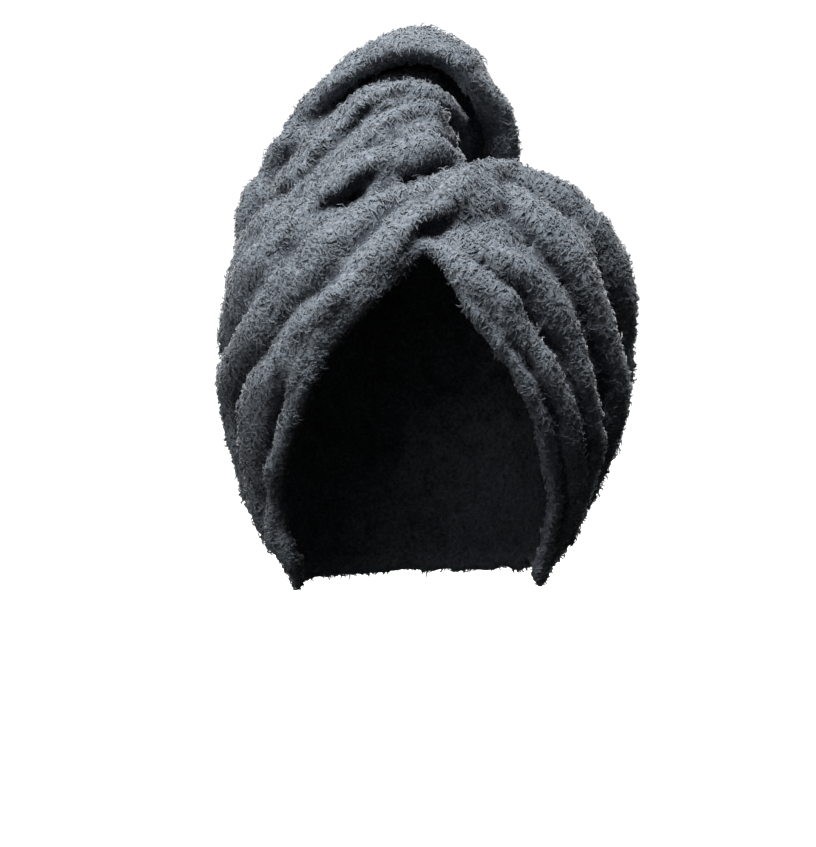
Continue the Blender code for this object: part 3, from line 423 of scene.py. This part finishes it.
def settle(f):
    """Fills the places where the inside would meet itself only along a cell's edge or at its corner."""
    f = f.copy()
    for _ in range(40):
        changed = 0
        s = f < 0
        for a in range(3):
            b, c = [k for k in range(3) if k != a]
            def at(u, v):
                o = [slice(None)] * 3
                o[b] = slice(1, None) if u else slice(0, -1)
                o[c] = slice(1, None) if v else slice(0, -1)
                return tuple(o)
            s00, s11, s01, s10 = s[at(0, 0)], s[at(1, 1)], s[at(0, 1)], s[at(1, 0)]
            for m, spot in ((s00 & s11 & ~s01 & ~s10, at(0, 1)), (s01 & s10 & ~s00 & ~s11, at(0, 0))):
                part = f[spot]
                part[m] = -0.15
                changed += int(m.sum())
        s = f < 0
        corner = lambda i, j, k: s[i:s.shape[0] - 1 + i, j:s.shape[1] - 1 + j, k:s.shape[2] - 1 + k]
        total = sum(corner(i, j, k).astype(int) for i in (0, 1) for j in (0, 1) for k in (0, 1))
        for i, j, k in ((0, 0, 0), (1, 0, 0), (0, 1, 0), (0, 0, 1)):
            pair = corner(i, j, k), corner(1 - i, 1 - j, 1 - k)
            two = (total == 2) & pair[0] & pair[1]
            six = (total == 6) & ~pair[0] & ~pair[1]
            part = f[1 - i:f.shape[0] - i, j:f.shape[1] - 1 + j, k:f.shape[2] - 1 + k]
            part[two] = -0.15
            part = f[i:f.shape[0] - 1 + i, j:f.shape[1] - 1 + j, k:f.shape[2] - 1 + k]
            part[six] = -0.15
            changed += int(two.sum() + six.sum())
        if not changed:
            break
    return f


def skin(f, lo, cell):
    """Closed quad mesh round the negative part of a sampled field, one vertex in each cell that the surface crosses."""
    f = settle(f)
    n = f.shape
    inside = f < 0
    total, count = np.zeros([k - 1 for k in n] + [3]), np.zeros([k - 1 for k in n])
    cut = lambda o: tuple(slice(o[k], n[k] - 1 + o[k]) for k in range(3))
    for a in range(3):
        b, c = [k for k in range(3) if k != a]
        for u in (0, 1):
            for v in (0, 1):
                o = [0, 0, 0]
                o[b], o[c] = u, v
                e = list(o)
                e[a] = 1
                f0, f1 = f[cut(o)], f[cut(e)]
                m = (f0 < 0) != (f1 < 0)
                at = np.zeros(m.shape + (3,))
                at[..., a], at[..., b], at[..., c] = np.where(m, f0 / np.where(m, f0 - f1, 1), 0), u, v
                total += at * m[..., None]
                count += m
    used = count > 0
    index = np.full(used.shape, -1)
    index[used] = np.arange(used.sum())
    points = (np.argwhere(used) + total[used] / count[used][:, None]) * cell + np.array(lo)
    quads = []
    for a in range(3):
        b, c = [(1, 2), (2, 0), (0, 1)][a]
        first, second = [None] * 3, [None] * 3
        first[a], second[a] = slice(0, n[a] - 1), slice(1, n[a])
        for k in (b, c):
            first[k] = second[k] = slice(1, n[k] - 1)
        m0, m1 = inside[tuple(first)], inside[tuple(second)]
        for flip, m in ((False, m0 & ~m1), (True, ~m0 & m1)):
            base = np.argwhere(m)
            base[:, b] += 1
            base[:, c] += 1
            ring = []
            for db, dc in ((-1, -1), (0, -1), (0, 0), (-1, 0)):
                q = base.copy()
                q[:, b] += db
                q[:, c] += dc
                ring.append(index[q[:, 0], q[:, 1], q[:, 2]])
            ring = np.stack(ring, 1)
            quads.append(ring[:, ::-1] if flip else ring)
    return points, np.vstack(quads)


# ---------------------------------------------------------------- looks: named sizes (mm)
CLOTH_CELL = 2.3           # cell of the cloth mesh
PILE_SINK = 0.6            # how deep a loop starts inside the cloth
PILE_SOFTNESS = 0.6        # how far the loops' normals lean towards the cloth's
CLUMP = 4.4                # spacing of the tufts that loops lean together in
FLOOR_Z = -0.305

# Loops of pile: count, length, radius, least and greatest curl in degrees, rings along each loop.
PILE = {
    #                 count  length radius curl      rings
    "front_curls":    (8900,  5.6,  0.33, 170, 300, 5),
    "front_fuzz_a":  (19500,  4.0,  0.29, 100, 210, 3),
    "front_fuzz_b":  (19500,  4.0,  0.29, 100, 210, 3),
    "back_fuzz":     (19000,  4.7,  0.35,  95, 200, 3),
    "inside_fuzz":    (7700,  3.6,  0.36,  70, 160, 3),
}


def lattice(i, seed):
    """A fixed pseudo-random number from -1 to 1 for each whole-numbered lattice point."""
    n = (i[..., 0] * 374761393 + i[..., 1] * 668265263 + i[..., 2] * 1440662683 + seed * 974634777) & 0xFFFFFFFF
    n = ((n ^ (n >> 13)) * 1274126177) & 0xFFFFFFFF
    return ((n ^ (n >> 16)) & 0xFFFFFFFF) / 2147483647.5 - 1


def noise(p, size, seed=0):
    """Smooth noise of a given grain, in millimetres."""
    q = p / size
    i = np.floor(q).astype(np.int64)
    f = q - i
    u = f * f * f * (f * (f * 6 - 15) + 10)
    out = 0
    for dx in (0, 1):
        for dy in (0, 1):
            for dz in (0, 1):
                w = (u[..., 0] if dx else 1 - u[..., 0]) * (u[..., 1] if dy else 1 - u[..., 1]) * (u[..., 2] if dz else 1 - u[..., 2])
                out = out + w * lattice(i + np.array([dx, dy, dz]), seed)
    return out


def wander(p, size, amount, seed):
    return amount * np.stack([noise(p, size, seed + k) for k in range(3)], -1)


def unit(v):
    return v / (np.sqrt((v ** 2).sum(-1, keepdims=True)) + 1e-12)


# ---------------------------------------------------------------- cloth
maps = hood_maps()


def cloth_field(p):
    """The whole towel: hood and wound tail, with the unevenness of soft cloth."""
    q = p + wander(p, 24.0, 1.3, 11) + wander(p, 11.0, 0.55, 23)
    f = low(hood_field(q, maps), tail_field(q, maps), 2.4)
    return f + 0.7 * noise(p, 7.0, 5) + 0.3 * noise(p, 4.6, 9)


lo, hi = (-106, -102, -208), (106, 144, 84)
points, quads = skin(sample(cloth_field, lo, hi, CLOTH_CELL), lo, CLOTH_CELL)


def largest_body(points, quads):
    """Drops crumbs beside the main body."""
    label = np.arange(len(points))
    while True:
        least = label[quads].min(1)
        new = label.copy()
        np.minimum.at(new, quads.ravel(), np.repeat(least, 4))
        new = new[new]
        if (new == label).all():
            break
        label = new
    ids, counts = np.unique(label, return_counts=True)
    keep = label == ids[counts.argmax()]
    index = np.cumsum(keep) - 1
    return points[keep], index[quads[keep[quads].all(1)]]


points, quads = largest_body(points, quads)


def new_mesh(name, verts, faces, smooth=True):
    """A mesh object from arrays: faces all of one size."""
    mesh = bpy.data.meshes.new(name)
    n, k = faces.shape
    mesh.vertices.add(len(verts))
    mesh.vertices.foreach_set("co", np.ascontiguousarray(verts * MM, dtype=np.float32).ravel())
    mesh.loops.add(n * k)
    mesh.loops.foreach_set("vertex_index", np.ascontiguousarray(faces, dtype=np.int32).ravel())
    mesh.polygons.add(n)
    mesh.polygons.foreach_set("loop_start", np.arange(0, n * k, k, dtype=np.int32))
    mesh.update(calc_edges=True)
    mesh.validate()
    if smooth:
        mesh.shade_smooth()
    obj = bpy.data.objects.new(name, mesh)
    bpy.context.scene.collection.objects.link(obj)
    return obj


def corner_normals(verts, faces):
    a, b, c, d = (verts[faces[:, k]] for k in range(4))
    n = np.cross(c - a, d - b)
    out = np.zeros_like(verts)
    for k in range(4):
        np.add.at(out, faces[:, k], n)
    return out / (np.sqrt((out ** 2).sum(1))[:, None] + 1e-12), n


def evened(values, faces, rounds):
    """Values on the vertices, averaged with their neighbours'."""
    a = faces.ravel()
    b = np.roll(faces, -1, 1).ravel()
    both, other = np.r_[a, b], np.r_[b, a]
    count = np.bincount(both, minlength=len(values))[:, None]
    v = values
    for _ in range(rounds):
        v = 0.5 * v + 0.5 * np.stack([np.bincount(both, v[other, k], len(values)) for k in range(3)], 1) / count
    return v


def hollows(verts, faces, normals, rounds):
    """How far each vertex lies below its surroundings, in millimetres: positive in grooves, negative on crests."""
    return ((evened(verts, faces, rounds) - verts) * normals).sum(1)


towel = new_mesh("towel", points, quads)
vertex_normals, face_areas = corner_normals(points, quads)
soft_normals = unit(evened(vertex_normals, quads, 3))
# How deep each vertex lies in a groove, from -1 on crests to 1 in grooves: it shortens the loops there and darkens the
# cloth's and the loops' colour as painted shade.
vertex_hollow_and_painted_shade = np.clip(hollows(points, quads, vertex_normals, 14) / 1.5, -1, 1)
# The side of the face opening's edge that is turned in gets the same painted shade as the grooves.
r, az, el = polar(points)
turned_in = np.clip((0.35 - (vertex_normals * unit(points - CENTRE)).sum(1)) / 0.5, 0, 1)
turned_in *= np.clip((r - look_up(maps[0], az, el) + WALL) / 2, 0, 1) * np.clip((10 - points[:, 2]) / 20, 0, 1) * (points[:, 1] < 40)
vertex_hollow_and_painted_shade = np.maximum(vertex_hollow_and_painted_shade, 1.0 * turned_in)
layer = towel.data.attributes.new("hollow_and_painted_shade", "FLOAT", "POINT")
layer.data.foreach_set("value", (0.5 + 0.5 * vertex_hollow_and_painted_shade).astype(np.float32))


# ---------------------------------------------------------------- direction of the folds
def fold_lines():
    """Points along every fold and strand with the direction the fold runs in."""
    at, way = [], []
    smooth = maps[0]
    for _, _, height, stops in folds():
        c = curve([(a, e, 0) for a, e in stops], 50)
        c = CENTRE + direction(c[:, 0], c[:, 1]) * (look_up(smooth, c[:, 0], c[:, 1]) + height)[:, None]
        at.append(c)
        way.append(np.gradient(c, axis=0))
    for rows in list(TAIL_STRANDS.values()) + [ROPE]:
        c = curve(rows, 50)[:, :3]
        at.append(c)
        way.append(np.gradient(c, axis=0))
    at, way = np.vstack(at), np.vstack(way)
    return at, way / np.sqrt((way ** 2).sum(1))[:, None]


def nearest_of(targets, p):
    """Index of the nearest target to each point."""
    tree = kdtree.KDTree(len(targets))
    for i, t in enumerate(targets):
        tree.insert(t, i)
    tree.balance()
    return np.array([tree.find(q)[1] for q in p])


# ---------------------------------------------------------------- pile
def spread(weights, count, rng):
    """Points on the cloth, as many on each face as its weight asks for."""
    f = rng.choice(len(quads), size=count, p=weights / weights.sum())
    u, v = rng.random(count)[:, None], rng.random(count)[:, None]
    a, b, c, d = (quads[f, k] for k in range(4))
    mix = lambda x: x[a] * (1 - u) * (1 - v) + x[b] * u * (1 - v) + x[c] * u * v + x[d] * (1 - u) * v
    return mix(points), unit(mix(vertex_normals)), unit(mix(soft_normals)), mix(vertex_hollow_and_painted_shade[:, None])[:, 0]


def loops(name, roots, normals, soft, hollow_and_painted_shade, rng, length, radius, least, most, rings, sides=3):
    """Curled pile loops as one joined mesh of small tapering tubes."""
    n = len(roots)
    lines_at, lines_way = fold_lines()
    run = lines_way[nearest_of(lines_at, roots)]
    across = unit(np.cross(normals, run))
    across *= np.where(across[:, 2] > 0.15, -1, 1)[:, None]
    # Loops lean together in tufts.
    cells = np.unique(np.round(roots / CLUMP).astype(int), axis=0)
    heads = cells * CLUMP + rng.normal(0, CLUMP * 0.3, (len(cells), 3))
    mine = nearest_of(heads, roots)
    level = lambda v: v - (v * normals).sum(1)[:, None] * normals
    to_head = level(heads[mine] - roots) / CLUMP
    swirl = level(wander(heads, 6.0, 1.0, 70)[mine] * 1.6)
    stir = level(rng.normal(0, 1, (n, 3)))
    lay = unit(0.55 * across + 0.75 * to_head + 0.8 * swirl + 0.32 * stir)
    side = np.cross(normals, lay)
    size = length * rng.uniform(0.7, 1.25, n) * (1 + 0.18 * noise(roots, 9.0, 31))
    size *= 1 - 0.45 * np.clip(hollow_and_painted_shade, 0, 1)
    thick = radius * rng.uniform(0.75, 1.3, n)
    lean = np.radians(rng.uniform(-5, 38, n))
    curl = np.radians(rng.uniform(least, most, n))
    twist = rng.uniform(-1.0, 1.0, n)
    at, frames = [roots - normals * PILE_SINK], []
    steps = rings - 1
    for k in range(steps):
        s = (k + 0.5) / steps
        angle = lean + curl * s
        sway = twist * np.sin(2.4 * s + 0.6)
        go = unit(np.cos(angle)[:, None] * normals + np.sin(angle)[:, None] * lay + (sway * (0.35 + s))[:, None] * side)
        at.append(at[-1] + go * (size / steps)[:, None])
    at = np.stack(at, 1)
    verts = np.zeros((n, rings - 1, sides, 3))
    for k in range(rings - 1):
        go = unit(at[:, min(k + 1, rings - 1)] - at[:, max(k - 1, 0)])
        x = unit(np.cross(go, side + 0.3 * normals))
        y = np.cross(go, x)
        taper = (1.0, 1.05, 0.85, 0.6, 0.5)[k]
        for j in range(sides):
            a = 2 * math.pi * j / sides + 0.5 * k
            verts[:, k, j] = at[:, k] + (x * math.cos(a) + y * math.sin(a)) * (thick * taper)[:, None]
    tips = at[:, -1]
    per = (rings - 1) * sides + 1
    all_verts = np.concatenate([verts.reshape(n, -1, 3), tips[:, None]], 1).reshape(-1, 3)
    tri = []
    for k in range(rings - 2):
        for j in range(sides):
            a, b = k * sides + j, k * sides + (j + 1) % sides
            tri += [(a, b, b + sides), (a, b + sides, a + sides)]
    k = rings - 2
    for j in range(sides):
        tri.append((k * sides + j, k * sides + (j + 1) % sides, per - 1))
    for j in range(1, sides - 1):
        tri.append((0, j + 1, j))
    tri = np.array(tri)
    faces = (tri[None] + (np.arange(n) * per)[:, None, None]).reshape(-1, 3)
    obj = new_mesh(name, all_verts, faces)
    # Pile scatters light like the cloth under it, so its normals lean towards the cloth's.
    own = np.zeros((n, per, 3))
    centre = np.repeat(at[:, :-1], sides, 1)
    own[:, :-1] = unit(all_verts.reshape(n, per, 3)[:, :-1] - centre)
    own[:, -1] = unit(at[:, -1] - at[:, -2])
    bent = unit(own * (1 - PILE_SOFTNESS) + soft[:, None, :] * PILE_SOFTNESS)
    obj.data.normals_split_custom_set_from_vertices(bent.reshape(-1, 3).tolist())
    # How far along its loop each vertex lies, and a tone of its own for each loop: random, darker in grooves and on the
    # turned-in edge as painted shade, a little lighter on crests as a painted highlight.
    along = np.concatenate([np.repeat(np.arange(rings - 1) / (rings - 1), sides), [1.0]])
    tone_and_painted_shade = 0.5 + 0.15 * rng.normal(0, 1, n) + 0.14 * noise(roots, 5.0, 61) + 0.10 * noise(roots, 22.0, 62)
    # Painted shade in grooves and on the turned-in edge, and a painted highlight on crests.
    tone_and_painted_shade = np.clip(tone_and_painted_shade - np.where(hollow_and_painted_shade > 0, 0.42, 0.12) * hollow_and_painted_shade, 0, 1)
    for attr, values in (("along", np.tile(along, n)), ("tone_and_painted_shade", np.repeat(tone_and_painted_shade, per))):
        layer = obj.data.attributes.new(attr, "FLOAT", "POINT")
        layer.data.foreach_set("value", values.astype(np.float32))
    return obj


centres = points[quads].mean(1)
face_normals = unit(face_areas)
area = np.sqrt((face_areas ** 2).sum(1)) / 2
radius_here, az_here, el_here = polar(centres)
outward = (face_normals * unit(centres - CENTRE)).sum(1)
inner = (radius_here < look_up(maps[0], az_here, el_here) - WALL * 0.55) & (outward < -0.35)
facing = np.clip(0.25 - face_normals[:, 1], 0, 1)
front_weight = area * ~inner * (0.15 + facing)
back_weight = area * ~inner * np.clip(0.55 + face_normals[:, 1], 0.0, 1.0)
inner_weight = area * inner * np.where(centres[:, 1] > 0, 1.0, 0.6)

pile = []
rng = np.random.default_rng(7)
for name, (count, length, radius, least, most, rings) in PILE.items():
    weight = {"front": front_weight, "back": back_weight, "inside": inner_weight}[name.split("_")[0]]
    roots, normals, soft, hollow_and_painted_shade = spread(weight, count, rng)
    pile.append(loops("pile_" + name, roots, normals, soft, hollow_and_painted_shade, rng, length, radius, least, most, rings))


# ---------------------------------------------------------------- materials
def tree(name):
    m = bpy.data.materials.new(name)
    m.use_nodes = True
    t = m.node_tree
    t.nodes.clear()
    out = t.nodes.new("ShaderNodeOutputMaterial")
    shader = t.nodes.new("ShaderNodeBsdfPrincipled")
    t.links.new(shader.outputs[0], out.inputs[0])
    return m, t, shader


def ramp(t, stops):
    r = t.nodes.new("ShaderNodeValToRGB")
    e = r.color_ramp.elements
    while len(e) > 1:
        e.remove(e[-1])
    e[0].position, e[0].color = stops[0][0], (*stops[0][1], 1)
    for at, colour in stops[1:]:
        e.new(at).color = (*colour, 1)
    return r


def grain(t, size, detail=3.0, distortion=0.0):
    """Object-space noise of a given grain in millimetres."""
    where = t.nodes.new("ShaderNodeTexCoord")
    n = t.nodes.new("ShaderNodeTexNoise")
    n.inputs["Scale"].default_value = 1000.0 / size
    n.inputs["Detail"].default_value = detail
    n.inputs["Distortion"].default_value = distortion
    t.links.new(where.outputs["Object"], n.inputs["Vector"])
    return n


def towelling_base():
    m, t, s = tree("towelling_ground")
    n = grain(t, 1.6, 4.0, 0.6)
    # The same grain raises the bump and lightens the colour, so the weave's dips are darker: painted shade in its
    # crevices, over a tone that differs at random.
    c = ramp(t, [(0.30, (0.045, 0.053, 0.063)), (0.50, (0.105, 0.119, 0.136)), (0.68, (0.165, 0.184, 0.205))])
    t.links.new(n.outputs["Fac"], c.inputs["Fac"])
    # Painted shade: the ground goes darker where the hollow mask is high, in grooves and on the turned-in edge of the
    # face opening.
    hollow_and_painted_shade = t.nodes.new("ShaderNodeAttribute")
    hollow_and_painted_shade.attribute_name = "hollow_and_painted_shade"
    deep = ramp(t, [(0.4, (1.0, 1.0, 1.0)), (0.85, (0.25, 0.25, 0.27))])
    t.links.new(hollow_and_painted_shade.outputs["Fac"], deep.inputs["Fac"])
    mix = t.nodes.new("ShaderNodeMix")
    mix.data_type = "RGBA"
    mix.blend_type = "MULTIPLY"
    mix.inputs[0].default_value = 1.0
    t.links.new(c.outputs[0], mix.inputs[6])
    t.links.new(deep.outputs[0], mix.inputs[7])
    t.links.new(mix.outputs[2], s.inputs["Base Color"])
    bump = t.nodes.new("ShaderNodeBump")
    bump.inputs["Strength"].default_value = 0.9
    bump.inputs["Distance"].default_value = 0.0012
    t.links.new(n.outputs["Fac"], bump.inputs["Height"])
    t.links.new(bump.outputs[0], s.inputs["Normal"])
    s.inputs["Roughness"].default_value = 0.95
    s.inputs["Specular IOR Level"].default_value = 0.15
    return m


def towelling_pile():
    m, t, s = tree("towelling_pile")
    through = t.nodes.new("ShaderNodeBsdfTranslucent")
    blend = t.nodes.new("ShaderNodeMixShader")
    blend.inputs[0].default_value = 0.22
    t.links.new(s.outputs[0], blend.inputs[1])
    t.links.new(through.outputs[0], blend.inputs[2])
    t.links.new(blend.outputs[0], next(n for n in t.nodes if n.type == "OUTPUT_MATERIAL").inputs[0])
    along = t.nodes.new("ShaderNodeAttribute")
    along.attribute_name = "along"
    tone_and_painted_shade = t.nodes.new("ShaderNodeAttribute")
    tone_and_painted_shade.attribute_name = "tone_and_painted_shade"
    # Painted shade: each loop runs from dark at its root to light at its tip, as if shaded deep in the pile.
    c = ramp(t, [(0.0, (0.060, 0.069, 0.081)), (0.4, (0.120, 0.136, 0.154)), (1.0, (0.185, 0.206, 0.228))])
    t.links.new(along.outputs["Fac"], c.inputs["Fac"])
    # Painted shade and highlight: low values give the dark, bluish tone of the grooves and the turned-in edge, high
    # values a lighter tone on crests; the middle is the loops' random tone.
    tone_and_shade_ramp = ramp(t, [(0.0, (0.17, 0.185, 0.225)), (0.22, (0.46, 0.475, 0.51)), (0.5, (0.86, 0.87, 0.88)), (1.0, (1.20, 1.19, 1.18))])
    t.links.new(tone_and_painted_shade.outputs["Fac"], tone_and_shade_ramp.inputs["Fac"])
    mix = t.nodes.new("ShaderNodeMix")
    mix.data_type = "RGBA"
    mix.blend_type = "MULTIPLY"
    mix.inputs[0].default_value = 1.0
    t.links.new(c.outputs[0], mix.inputs[6])
    t.links.new(tone_and_shade_ramp.outputs[0], mix.inputs[7])
    fine = grain(t, 0.5, 2.0)
    fine_tone = ramp(t, [(0.3, (0.8, 0.8, 0.8)), (0.7, (1.12, 1.12, 1.12))])
    t.links.new(fine.outputs["Fac"], fine_tone.inputs["Fac"])
    mix2 = t.nodes.new("ShaderNodeMix")
    mix2.data_type = "RGBA"
    mix2.blend_type = "MULTIPLY"
    mix2.inputs[0].default_value = 1.0
    t.links.new(mix.outputs[2], mix2.inputs[6])
    t.links.new(fine_tone.outputs[0], mix2.inputs[7])
    t.links.new(mix2.outputs[2], s.inputs["Base Color"])
    t.links.new(mix2.outputs[2], through.inputs["Color"])
    s.inputs["Roughness"].default_value = 0.72
    s.inputs["Specular IOR Level"].default_value = 0.3
    s.inputs["Sheen Weight"].default_value = 0.25
    s.inputs["Sheen Roughness"].default_value = 0.4
    return m


def plastic():
    m, t, s = tree("button_plastic")
    n = grain(t, 2.5, 3.0)
    c = ramp(t, [(0.3, (0.040, 0.046, 0.055)), (0.7, (0.062, 0.070, 0.082))])
    t.links.new(n.outputs["Fac"], c.inputs["Fac"])
    t.links.new(c.outputs[0], s.inputs["Base Color"])
    r = t.nodes.new("ShaderNodeMapRange")
    r.inputs["To Min"].default_value, r.inputs["To Max"].default_value = 0.32, 0.5
    t.links.new(n.outputs["Fac"], r.inputs["Value"])
    t.links.new(r.outputs[0], s.inputs["Roughness"])
    return m


ground, loop_pile, button = towelling_base(), towelling_pile(), plastic()
towel.data.materials.append(ground)
for o in pile:
    o.data.materials.append(loop_pile)
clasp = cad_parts["nape_clasp"]
for s in clasp.material_slots:
    s.material = button

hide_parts("hood", "tail")
for o in [towel] + pile:
    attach(o, "root")

# ---------------------------------------------------------------- camera, floor, light
cam_data = bpy.data.cameras.new("camera")
cam = bpy.data.objects.new("camera", cam_data)
bpy.context.scene.collection.objects.link(cam)
cam.location = (-0.0093, -1.1, -0.108)
cam.rotation_euler = (math.radians(90), 0, 0)
cam_data.sensor_width = 36
cam_data.sensor_fit = "HORIZONTAL"
cam_data.lens = 36 * 1.1 / 0.3623
cam_data.clip_start = 0.01
bpy.context.scene.camera = cam

# Paper sweep all round: flat floor, then a curve up into the wall.
profile = [(0.0, 0.0), (1.2, 0.0), (2.6, 0.0)] + [(2.6 + 0.9 * math.sin(a), 0.9 - 0.9 * math.cos(a)) for a in np.linspace(0.1, math.pi / 2, 14)] + [(3.5, 4.0)]
ROUND = 72
verts = [(0.0, 0.0, FLOOR_Z)] + [(r * math.cos(2 * math.pi * k / ROUND), r * math.sin(2 * math.pi * k / ROUND), FLOOR_Z + z)
                                 for r, z in profile[1:] for k in range(ROUND)]
faces = [(0, 1 + k, 1 + (k + 1) % ROUND) for k in range(ROUND)]
for j in range(len(profile) - 2):
    for k in range(ROUND):
        a, b = 1 + j * ROUND + k, 1 + j * ROUND + (k + 1) % ROUND
        faces.append((a, a + ROUND, b + ROUND, b))
back = bpy.data.meshes.new("backdrop")
back.from_pydata(verts, [], faces)
back.shade_smooth()
backdrop = bpy.data.objects.new("backdrop", back)
bpy.context.scene.collection.objects.link(backdrop)
m, t, s = tree("pale_paper")
s.inputs["Base Color"].default_value = (0.93, 0.93, 0.93, 1)
s.inputs["Roughness"].default_value = 0.9
s.inputs["Emission Color"].default_value = (1.0, 1.0, 1.0, 1)
s.inputs["Emission Strength"].default_value = 0.62
back.materials.append(m)
backdrop.visible_diffuse = backdrop.visible_glossy = backdrop.visible_transmission = False     # it throws no light on the cloth


def light(name, at, aim, power, size, colour=(1, 1, 1)):
    data = bpy.data.lights.new(name, "AREA")
    data.energy, data.size, data.color = power, size, colour
    obj = bpy.data.objects.new(name, data)
    obj.location = at
    obj.rotation_euler = (Vector(aim) - Vector(at)).to_track_quat("-Z", "Y").to_euler()
    bpy.context.scene.collection.objects.link(obj)
    return obj


light("key", (-0.20, -0.97, 1.42), (0, 0, -0.06), 109, 0.6)
light("left", (-1.45, -0.80, 0.55), (0, 0, -0.08), 19, 0.6)
light("fill", (-0.9, -1.8, 0.1), (0, 0, -0.1), 4.0, 1.2)
light("behind_left", (-0.7, 2.0, 1.5), (0, 0, -0.06), 48, 1.0)
light("behind_right", (0.7, 2.0, 1.5), (0, 0, -0.06), 44, 1.0)
light("right", (1.35, 1.45, 1.0), (0, 0, -0.06), 42, 1.0)

world = bpy.data.worlds.new("studio")
world.use_nodes = True
world.node_tree.nodes["Background"].inputs[0].default_value = (1, 1, 1, 1)
world.node_tree.nodes["Background"].inputs[1].default_value = 0.05
bpy.context.scene.world = world
bpy.context.scene.view_settings.view_transform = "Standard"
